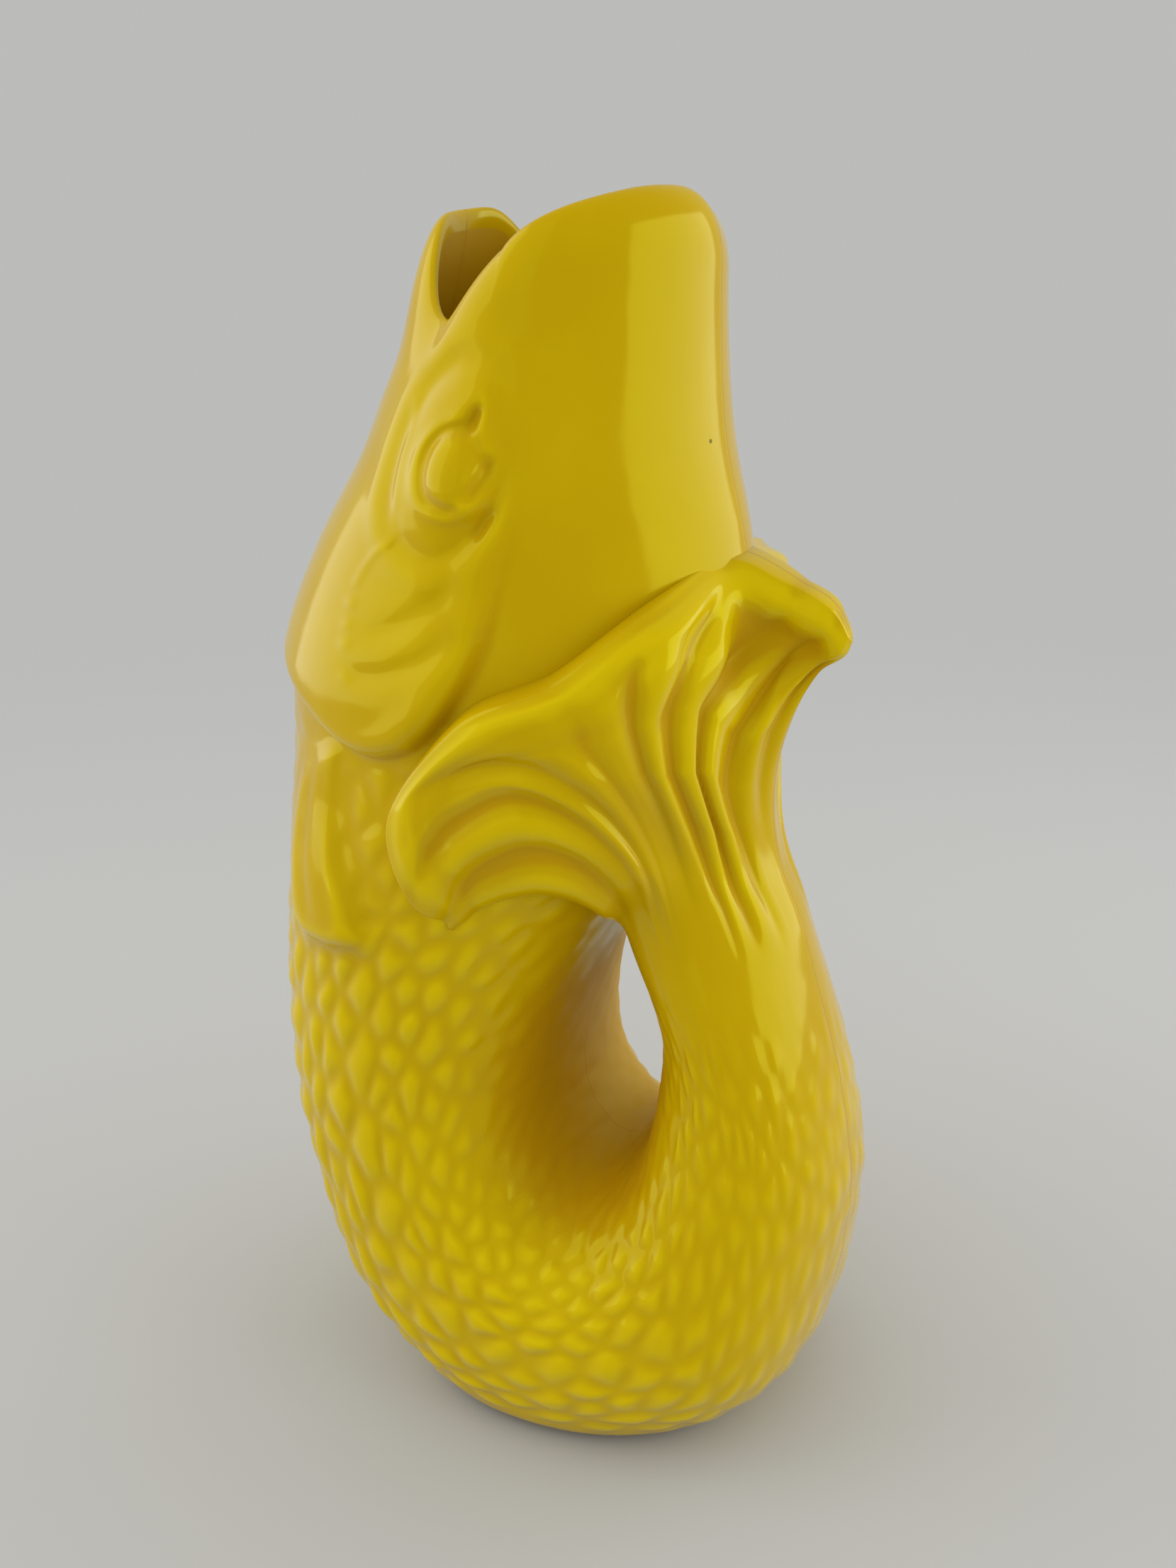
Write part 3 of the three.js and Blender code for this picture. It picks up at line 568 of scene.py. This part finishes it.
links.new(bump.outputs["Normal"], coat.inputs["Normal"])
dullness = maths(tree, "MULTIPLY_ADD", flow.outputs["Cloud"], 0.08, 0.09)
links.new(maths(tree, "MULTIPLY_ADD", deep_and_shaded, 0.4, dullness), coat.inputs["Roughness"])


# The cast shell: head, belly and tail are stretches of the one skin with the wall's inside behind it. They
# meet without a step, so the glaze runs on across the joints.
skin_normals = outward_normals(finished)
# Painted shade: the glaze tone is raised across the handle's loop, so the loop takes the deeper colour there.
loop_shade = ease(STATION, 6.5, 8) * (1 - ease(STATION, 13.2, 14.4)) * (1 - ease(TURN, 25, 60))
# Painted light: the scale mask also pulls the skin towards the paler colour, partly a thinner coat over the
# scales and partly painted light on the lit belly.
skin_pooling_and_painted_light = 0.5 * glaze_tone(finished, smooth_skin) - 0.45 * scale_mask_and_light + 1.1 * loop_shade


def cast_shell(name, first, last, lip, stands_for):
    """A closed, hollow stretch of the fish between two rows of the skin."""
    rows = [finished[i] for i in range(first, last + 1)]
    glaze_tone_rows = [skin_pooling_and_painted_light[i] for i in range(first, last + 1)]
    inner_from = STATION[first] if not lip else LIP + LIP_ROUND_INSIDE / station_mm
    depth = np.linspace(1, 0, max((last - first) // 5, 8))[:, None]
    for stations in inner_from * (1 - depth) + STATION[last] * depth:
        below_lip = (stations - LIP) * station_mm - LIP_ROUND_INSIDE
        undercut = (LIP_BEND - WALL) * (1 - ease(below_lip, 0, LIP_UNDERCUT)) if lip else 0
        rows.append(skin(stations, COLUMNS, -WALL - undercut))
        # Painted shade: the inside of the wall takes the full deep colour, standing in for the unlit
        # interior.
        glaze_tone_rows.append(np.full(AROUND, 1.0))
    if lip:
        for turn in np.linspace(np.pi / 2, 0, LIP_ROWS, endpoint=False)[1:]:
            down = LIP + (1 - np.cos(turn)) * LIP_ROUND_INSIDE / station_mm
            rows.append(skin(down, COLUMNS, -LIP_BEND * (LIP_CREST + (1 - LIP_CREST) * np.sin(turn))))
            glaze_tone_rows.append(np.zeros(AROUND))
    piece = new_piece(name, np.array(rows), net_faces(len(rows), AROUND, closed_rows=True))
    note(piece, "glaze_tone", np.array(glaze_tone_rows).ravel())
    mesh = piece.data
    outer = last - first
    smooth = np.ones((len(rows), AROUND), bool)
    smooth[outer] = False
    smooth[-1] = lip
    mesh.polygons.foreach_set("use_smooth", smooth.ravel())
    corner = np.empty(len(mesh.loops), np.int32)
    mesh.loops.foreach_get("vertex_index", corner)
    ring = corner // AROUND
    face_row = np.repeat(np.arange(len(rows)), 4 * AROUND)
    set_normals = np.zeros((len(corner), 3))
    at_joint = (face_row < outer) & ((ring == outer) | ((ring == 0) & (not lip)))
    set_normals[at_joint] = skin_normals[first + ring[at_joint], corner[at_joint] % AROUND]
    mesh.normals_split_custom_set(set_normals.tolist())
    mesh.materials.append(glaze)
    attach(piece, "root")
    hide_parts(*stands_for)
    return piece


HEAD_END_ROW = LIP_ROWS + HEAD_ROWS
BODY_END_ROW = HEAD_END_ROW + BODY_ROWS
face_nodes = ("head_shell", "gill_cover_left", "gill_cover_right", "eye_left", "eye_right")
cast_shell("head", 0, HEAD_END_ROW, True, face_nodes)
belly_nodes = ("body_shell", "pectoral_fin_left", "pectoral_fin_right")
cast_shell("belly", HEAD_END_ROW, BODY_END_ROW, False, belly_nodes)
cast_shell("tail_handle", BODY_END_ROW, len(STATION) - 1, False, ("tail_shell",))


# The tail fin: the tail spreads into a forked fan whose front lobes clasp the belly and whose back blade
# stands behind the nape. It is cast with the tail and its rim is thick and rounded. Each ray gives the
# degrees round the tail's end where it starts, then points at each quarter of its length, in mm.
FIN_RAYS = np.array([
    [0, 14, 0, 146, 6, 0, 150, 0, 0, 150, -4, 0, 148],
    [45, 21, -32, 150, 13, -40, 156, 2, -43.5, 153, -8, -44, 146],
    [65, 26.5, -37, 161, 14, -51, 176, -0.5, -56, 168, -10, -51.5, 150],
    [82, 31, -38.5, 168, 13, -53.5, 188, -6, -58.6, 180, -15.5, -57.5, 158],
    [88, 33.5, -36, 169, 20, -51.5, 190.5, 0, -58.6, 191, -18.5, -58, 178],
    [95, 36, -32.5, 168, 28, -47, 191, 16, -56, 198, 0.5, -58, 202],
    [105, 38.5, -28.5, 166, 34.5, -40, 190, 30, -48, 204, 19.5, -50.3, 211.5],
    [117, 42, -25.5, 163, 39.3, -34.5, 189, 38, -38.5, 211, 33.8, -34.5, 225.5],
    [133, 46.5, -19, 161, 44, -25, 187, 43, -23, 212, 40.5, -8.5, 232],
    [153, 51, -12, 159, 47, -14, 180, 49, -11.5, 202, 54.5, -4, 227.5],
    [167, 53.3, -6, 158.5, 50.5, -7.5, 179, 55, -6, 200.5, 65, -2.5, 222.5],
    [180, 54.5, 0, 158, 52.7, 0, 178, 58.5, 0, 198.5, 69, 0, 215.5],
])
FIN_RIB, FIN_RIM, FIN_DISH, FIN_HOLLOW, FIN_ROLL, FIN_LIFT = 0.0024, 1.9, 1.2, 3.0, 8.0, 3.2
FIN_COLUMNS, FIN_ROWS, FIN_CLOSING, FIN_REACH = 22 * 18, 110, 18, 60.4
# Where each rib lies, in rays, at six shares of the way to the rim, and how high it stands there: three
# soft arcs on the front lobe, two short ribs in the fork, four strong ones on the blade and its back edge.
RIB_SHARES = (0.15, 0.35, 0.5, 0.65, 0.8, 0.95)
RIB_RAYS = np.array([
    [0, 0, 0, 0, 0, 0], [1.3, 1.35, 1.28, 1.2, 1.22, 1.25], [2.3, 2.2, 2.05, 2.08, 2.15, 2.4],
    [3.3, 3.35, 3.15, 3.03, 3.1, 3.4], [4.3, 4.6, 4.78, 5.0, 5.35, 5.6], [5.4, 5.6, 5.75, 5.95, 6.15, 6.3],
    [7.45, 7.1, 6.82, 6.85, 7.1, 7.5], [8.0, 7.98, 7.68, 7.82, 8.25, 8.7], [8.75, 8.6, 8.25, 8.5, 9.1, 9.8],
    [9.9, 9.8, 9.72, 9.75, 10.4, 10.8], [11, 11, 11, 11, 11, 11],
])
RIB_HEIGHTS = np.array([
    [0, 0, 0, 0, 0, 0], [0.2, 0.6, 0.9, 0.9, 0.8, 0.2], [0.2, 0.6, 0.9, 0.9, 0.8, 0.2],
    [0.2, 0.6, 0.9, 0.9, 0.8, 0.2], [0.1, 0.4, 0.5, 0.4, 0.1, 0], [0, 0.1, 0.4, 0.5, 0.4, 0.1],
    [0.2, 0.8, 1, 1.1, 1.1, 0.3], [0.4, 1.1, 1.2, 1.3, 1.3, 0.3], [0.5, 1.3, 1.4, 1.4, 1.3, 0.3],
    [0, 0.2, 0.8, 1, 1, 0.2], [0, 0, 0.1, 0.2, 0.2, 0],
])
RIB_SOFTNESS = (0.4, 0.2, 0.2, 0.2, 0.2, 0.1, 0.05, 0.05, 0.05, 0.05, 0.1)

turn = np.arange(FIN_COLUMNS) / FIN_COLUMNS * 22
near = np.minimum(turn, 22 - turn)
root_degrees = np.interp(turn, np.arange(23), np.append(FIN_RAYS[:, 0], 360 - FIN_RAYS[-2::-1, 0]))
ray_points = np.moveaxis(FIN_RAYS[:, 1:].reshape(12, 4, 3), 1, 0)
stages = [along_curve(np.concatenate([stage, stage[-2:0:-1] * [1, -1, 1]]), turn, closed=True)
          for stage in ray_points]
tail_ring = skin(TAIL_END, -root_degrees)
tail_course = tail_ring - skin(TAIL_END - 0.08, -root_degrees)
tail_course /= np.linalg.norm(tail_course, axis=1, keepdims=True)
share = np.linspace(0, 1, FIN_ROWS + 1)[:, None]
fan = along_curve(np.stack([tail_ring, *stages]), 4 * share[:, 0])
first_step = np.linalg.norm(stages[0] - tail_ring, axis=1)[:, None]
start = tail_ring + tail_course * first_step * 4 * share[:, :, None]
fan = start + (fan - start) * ease(share, 0, 0.22)[:, :, None]
fan_outwards = outward_normals(fan)
blade = ease(near, 6, 8.5)
clasp = ease(near, 1.2, 3.2)
rim = FIN_RIM * clasp * ease(share, 0.7 + 0.16 * blade, 0.9 + 0.06 * blade)
rim = rim * (1 - 0.7 * ease(share, 0.92 + 0.03 * blade, 1.03))
dish = FIN_DISH * ease(share, 0.4, 0.72) * (1 - ease(share, 0.83, 0.95))
hollow = np.minimum(FIN_HOLLOW, 0.55 * np.abs(fan[..., 1]))
hollow = hollow * ease(near, 7.9, 8.9) * ease(share, 0.66, 0.85) * (1 - ease(share, 0.89, 0.965))
on_nape = ease(near, 6.4, 7.3) * (1 - ease(near, 8.1, 8.8))
on_nape = on_nape * ease(share, 0.62, 0.8) * (1 - ease(share, 0.87, 0.98))
rim = rim - dish * (1 - 0.5 * blade) - hollow + FIN_LIFT * on_nape
shaped_fan = fan + fan_outwards * rim[:, :, None]

rib = np.array([np.interp(near, [np.interp(row, RIB_SHARES, line) for line in RIB_RAYS], range(11))
                for row in share[:, 0]])
rays, given = relief_tree("fin_rays", {"Height": FIN_RIB})
wave = maths(rays, "COSINE", maths(rays, "MULTIPLY", stored(rays, "rib"), np.pi))
softness = stored(rays, "softness")
crest = maths(rays, "SQRT", maths(rays, "ADD", maths(rays, "MULTIPLY", wave, wave), softness))
valley = maths(rays, "SQRT", softness)
depth = maths(rays, "SUBTRACT", maths(rays, "SQRT", maths(rays, "ADD", softness, 1.0)), valley)
crest = maths(rays, "SUBTRACT", maths(rays, "DIVIDE", maths(rays, "SUBTRACT", crest, valley), depth), 0.6)
fading = eased(rays, stored(rays, "share"), 0.0, 0.15)
height = maths(rays, "MULTIPLY", crest, given.outputs["Height"])
height = maths(rays, "MULTIPLY", height, stored(rays, "strength"))
end_relief(rays, given, maths(rays, "MULTIPLY", height, fading))

fan_skin = new_piece("fan_skin", shaped_fan, net_faces(FIN_ROWS + 1, FIN_COLUMNS))
note(fan_skin, "rib", rib.ravel())
strength = np.array([np.interp(rib[i], range(11), [np.interp(row, RIB_SHARES, line) for line in RIB_HEIGHTS])
                     for i, row in enumerate(share[:, 0])])
note(fan_skin, "strength", strength.ravel())
note(fan_skin, "softness", np.interp(rib, range(11), RIB_SOFTNESS).ravel())
note(fan_skin, "share", np.repeat(share[:, 0], FIN_COLUMNS))
note(fan_skin, "outward", fan_outwards.reshape(-1, 3))
apply_tree(fan_skin, rays, {"Height": FIN_RIB})
ribbed = np.empty((FIN_ROWS + 1) * FIN_COLUMNS * 3, np.float32)
fan_skin.data.vertices.foreach_get("co", ribbed)
ribbed = ribbed.reshape(FIN_ROWS + 1, FIN_COLUMNS, 3).astype(float) * 1000
ribbed[..., 1] = np.clip(ribbed[..., 1], -FIN_REACH, FIN_REACH)
bpy.data.objects.remove(fan_skin)

opposite = (-np.arange(FIN_COLUMNS)) % FIN_COLUMNS
tip_course = ribbed[-1] - ribbed[-6]
tip_course /= np.linalg.norm(tip_course, axis=1, keepdims=True)
thickness = np.linalg.norm(ribbed[-1] - ribbed[-1][opposite], axis=1)[:, None] / 2
roll = np.minimum(thickness, FIN_ROLL)
bulge = ((0.45 - 0.3 * blade) * clasp)[:, None] * roll
closing = []
for inwards in (np.arange(1, FIN_CLOSING + 1) / FIN_CLOSING) ** 2.4:
    point = ribbed[-1] * (1 - inwards / 2) + ribbed[-1][opposite] * inwards / 2
    rolled = np.minimum(inwards * thickness / np.maximum(roll, 0.001), 1)
    closing.append(point + tip_course * bulge * np.sqrt(1 - (1 - rolled) ** 2))
closing[-1] = (closing[-1] + closing[-1][opposite]) / 2
net = np.concatenate([ribbed, closing])
root_cap = []
for j in range(FIN_COLUMNS // 2):
    corners = [j, j + 1, FIN_COLUMNS - j - 1, (FIN_COLUMNS - j) % FIN_COLUMNS]
    root_cap.append(list(dict.fromkeys(corners))[::-1])
fin_faces = net_faces(len(net), FIN_COLUMNS).tolist()
fin = bpy.data.objects.new("tail_fin_fan", bpy.data.meshes.new("tail_fin_fan"))
bpy.context.scene.collection.objects.link(fin)
fin.data.from_pydata((net.reshape(-1, 3) * 0.001).tolist(), [], fin_faces + root_cap)
fin.data.polygons.foreach_set("use_smooth", [True] * len(fin_faces) + [False] * len(root_cap))
# Painted shade: the blade's hollow is given the deeper glaze colour, on top of the glaze that thins on the
# rim and pools in the ribs.
fin_pooling_and_painted_shade = glaze_tone(ribbed, fan) - 0.3 * np.maximum(rim, 0) + 0.25 * hollow
fin_pooling_and_painted_shade = np.concatenate([fin_pooling_and_painted_shade, np.tile(fin_pooling_and_painted_shade[-1], (FIN_CLOSING, 1))])
note(fin, "glaze_tone", fin_pooling_and_painted_shade.ravel())
root_normals = np.zeros_like(net)
for axis in range(3):
    root_normals[0, :, axis] = np.interp(-root_degrees, COLUMNS, skin_normals[-1, :, axis], period=360)
note(fin, "root_normal", root_normals.reshape(-1, 3))


def tidied(mesh):
    """Welds a closed mesh's doubled points and turns its faces outwards."""
    work = bmesh.new()
    work.from_mesh(mesh)
    bmesh.ops.remove_doubles(work, verts=work.verts, dist=1e-7)
    if work.calc_volume(signed=True) < 0:
        bmesh.ops.reverse_faces(work, faces=work.faces)
    work.to_mesh(mesh)
    work.free()


# A core inside the fish's wall is cut out of the fin, so that its lobes end within the wall.
CORE_FROM, CORE_TO, CORE_ROWS, CORE_COLUMNS = 1.5, 9.5, 90, 120
core_rows = np.linspace(CORE_FROM, CORE_TO, CORE_ROWS)[:, None] + np.zeros(CORE_COLUMNS)
core_net = skin(core_rows, np.linspace(0, 360, CORE_COLUMNS, endpoint=False), -WALL / 2)
core = bpy.data.objects.new("fish_core", bpy.data.meshes.new("fish_core"))
bpy.context.scene.collection.objects.link(core)
last_ring = range((CORE_ROWS - 1) * CORE_COLUMNS, CORE_ROWS * CORE_COLUMNS)
core_faces = net_faces(CORE_ROWS, CORE_COLUMNS).tolist() + [list(range(CORE_COLUMNS)), list(last_ring)[::-1]]
core.data.from_pydata((core_net.reshape(-1, 3) * 0.001).tolist(), [], core_faces)
tidied(core.data)
tidied(fin.data)
cut = fin.modifiers.new("clasp", "BOOLEAN")
cut.operation = "DIFFERENCE"
cut.object = core
cut.solver = "EXACT"
settle(fin)
bpy.data.objects.remove(core)

root_normals = np.empty(len(fin.data.vertices) * 3, np.float32)
fin.data.attributes["root_normal"].data.foreach_get("vector", root_normals)
corner = np.empty(len(fin.data.loops), np.int32)
fin.data.loops.foreach_get("vertex_index", corner)
smooth = np.empty(len(fin.data.polygons), bool)
fin.data.polygons.foreach_get("use_smooth", smooth)
corner_counts = np.empty(len(fin.data.polygons), np.int32)
fin.data.polygons.foreach_get("loop_total", corner_counts)
set_normals = root_normals.reshape(-1, 3)[corner] * np.repeat(smooth, corner_counts)[:, None]
set_normals[np.linalg.norm(set_normals, axis=1) < 0.9] = 0
fin.data.normals_split_custom_set(set_normals.tolist())
fin.data.materials.clear()
fin.data.materials.append(glaze)
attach(fin, "root")
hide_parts("tail_fin")


# The foot: a ring on the underside that is wiped free of glaze before firing, so bare, pale, slightly
# gritty clay stands on the table. Sizes in mm.
FOOT_LENGTH, FOOT_WIDTH, FOOT_RIM, FOOT_HEIGHT, FOOT_MIDDLE, FOOT_ROUND = 66, 50, 7, 2.2, 6, 0.8
FOOT_POINTS = 128
CLAY_WARM, CLAY_PALE, CLAY_PIT = (0.62, 0.55, 0.43, 1), (0.74, 0.68, 0.57, 1), (0.3, 0.24, 0.17, 1)
foot_turn = np.linspace(0, 2 * np.pi, FOOT_POINTS, endpoint=False)
corner = np.linspace(0, np.pi / 2, 6)
profile = []
for right, up, start in ((1, 1, 0), (0, 1, np.pi / 2), (0, 0, np.pi), (1, 0, 1.5 * np.pi)):
    out = FOOT_RIM - FOOT_ROUND if right else FOOT_ROUND
    high = FOOT_HEIGHT - FOOT_ROUND if up else FOOT_ROUND
    for angle in corner + start:
        profile.append((out + FOOT_ROUND * np.cos(angle), high + FOOT_ROUND * np.sin(angle)))
foot_net = np.array([
    np.stack([FOOT_MIDDLE + (FOOT_LENGTH / 2 - FOOT_RIM + out) * np.cos(foot_turn),
              (FOOT_WIDTH / 2 - FOOT_RIM + out) * np.sin(foot_turn), np.full(FOOT_POINTS, up)], -1)
    for out, up in profile
])
foot = new_piece("bare_foot", foot_net, net_faces(len(profile), FOOT_POINTS, closed_rows=True))
tidied(foot.data)
foot.data.polygons.foreach_set("use_smooth", [True] * len(foot.data.polygons))

clay = bpy.data.materials.new("bare_clay")
clay.use_nodes = True
tree = clay.node_tree
biscuit = tree.nodes["Principled BSDF"]
grit = tree.nodes.new("ShaderNodeGroup")
grit.node_tree = mottle
grit.inputs["Mottle Size"].default_value = 160.0
grit.inputs["Ripple Size"].default_value = 1400.0
grit.inputs["Pinhole Size"].default_value = 220.0
colour = blended(tree, grit.outputs["Cloud"], CLAY_WARM, CLAY_PALE)
colour = blended(tree, grit.outputs["Pinhole"], colour, CLAY_PIT)
tree.links.new(colour, biscuit.inputs["Base Color"])
tree.links.new(maths(tree, "MULTIPLY_ADD", grit.outputs["Ripple"], 0.15, 0.78), biscuit.inputs["Roughness"])
bump = tree.nodes.new("ShaderNodeBump")
bump.inputs["Strength"].default_value = 0.5
bump.inputs["Distance"].default_value = 0.0003
tree.links.new(grit.outputs["Ripple"], bump.inputs["Height"])
tree.links.new(bump.outputs["Normal"], biscuit.inputs["Normal"])
foot.data.materials.append(clay)
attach(foot, "root")
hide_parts("foot_ring")


# The setting: a pale paper sweep under even tent light. A large soft panel to the right and two pale walls
# to the left give the long reflections, and a lamp behind lights the loop. The camera is a little above
# the mouth. Places are in metres.
PAPER, PAPER_SHEET = (0.50, 0.505, 0.49, 1), (0.48, 0.48, 0.465, 1)
FLOOR_RINGS, FLOOR_POINTS = (0.05, 0.4, 1.5, 6.0), 96
CAMERA_PLACE, CAMERA_TARGET, CAMERA_LENS = (0.1859, -0.3750, 0.3366), (0.003, 0, 0.168), 41.01
floor_mesh = bpy.data.meshes.new("paper_floor")
ring_turn = np.linspace(0, 2 * np.pi, FLOOR_POINTS, endpoint=False)
floor_rings = np.array([[(r * np.cos(t), r * np.sin(t), 0) for t in ring_turn] for r in FLOOR_RINGS])
floor_faces = net_faces(len(FLOOR_RINGS), FLOOR_POINTS).tolist() + [list(range(FLOOR_POINTS))]
floor_mesh.from_pydata(floor_rings.reshape(-1, 3).tolist(), [], floor_faces)
floor = bpy.data.objects.new("paper_floor", floor_mesh)
bpy.context.scene.collection.objects.link(floor)
paper = bpy.data.materials.new("paper")
paper.use_nodes = True
tree = paper.node_tree
sheet = tree.nodes["Principled BSDF"]
sheet.inputs["Base Color"].default_value = PAPER_SHEET
sheet.inputs["Roughness"].default_value = 0.9
distance = tree.nodes.new("ShaderNodeVectorMath")
distance.operation = "LENGTH"
tree.links.new(tree.nodes.new("ShaderNodeTexCoord").outputs["Object"], distance.inputs[0])
glow = tree.nodes.new("ShaderNodeEmission")
glow.inputs["Color"].default_value = PAPER
mix = tree.nodes.new("ShaderNodeMixShader")
tree.links.new(eased(tree, distance.outputs["Value"], 0.2, 0.75), mix.inputs[0])
tree.links.new(sheet.outputs[0], mix.inputs[1])
tree.links.new(glow.outputs[0], mix.inputs[2])
tree.links.new(mix.outputs[0], tree.nodes["Material Output"].inputs["Surface"])
floor_mesh.materials.append(paper)

world = bpy.data.worlds.new("tent")
world.use_nodes = True
bpy.context.scene.world = world
tree = world.node_tree
tent = tree.nodes["Background"]
tent.inputs["Color"].default_value = (1, 1, 1, 1)
tent.inputs["Strength"].default_value = 0.83
backdrop = tree.nodes.new("ShaderNodeBackground")
backdrop.inputs["Color"].default_value = PAPER
ray = tree.nodes.new("ShaderNodeLightPath")
seen = maths(tree, "MAXIMUM", ray.outputs["Is Camera Ray"], ray.outputs["Is Transmission Ray"])
seen = maths(tree, "MAXIMUM", seen, ray.outputs["Is Glossy Ray"])
mix = tree.nodes.new("ShaderNodeMixShader")
tree.links.new(seen, mix.inputs[0])
tree.links.new(tent.outputs[0], mix.inputs[1])
tree.links.new(backdrop.outputs[0], mix.inputs[2])
tree.links.new(mix.outputs[0], tree.nodes["World Output"].inputs["Surface"])


def soft_panel(name, place, size, power, towards):
    lamp = bpy.data.lights.new(name, "AREA")
    lamp.shape = "RECTANGLE"
    lamp.size, lamp.size_y = size
    lamp.energy = power
    panel = bpy.data.objects.new(name, lamp)
    panel.location = place
    panel.rotation_euler = (Vector(towards) - Vector(place)).to_track_quat("-Z", "Y").to_euler()
    panel.visible_camera = False
    bpy.context.scene.collection.objects.link(panel)
    return panel


soft_panel("right_panel", (0.986, 0.277, 0.34), (1.25, 0.68), 4.8, (0.054, -0.086, 0.34))
soft_panel("left_wall", (-0.94, -0.34, 0.8), (1.3, 1.6), 7, (0, 0, 0.8))
back_panel = soft_panel("back_panel", (0.5, 0.95, 0.35), (0.6, 0.6), 2.2, (0, 0, 0.12))
back_panel.visible_glossy = False
soft_panel("front_left_wall", (-0.17, -0.985, 0.8), (1.15, 1.6), 1.8, (0, 0, 0.8))

camera = bpy.data.cameras.new("camera")
camera.sensor_width = 36
camera.lens = CAMERA_LENS
view = bpy.data.objects.new("camera", camera)
view.location = CAMERA_PLACE
view.rotation_euler = (Vector(CAMERA_TARGET) - view.location).to_track_quat("-Z", "Y").to_euler()
bpy.context.scene.collection.objects.link(view)
bpy.context.scene.camera = view
bpy.context.scene.view_settings.view_transform = "Standard"
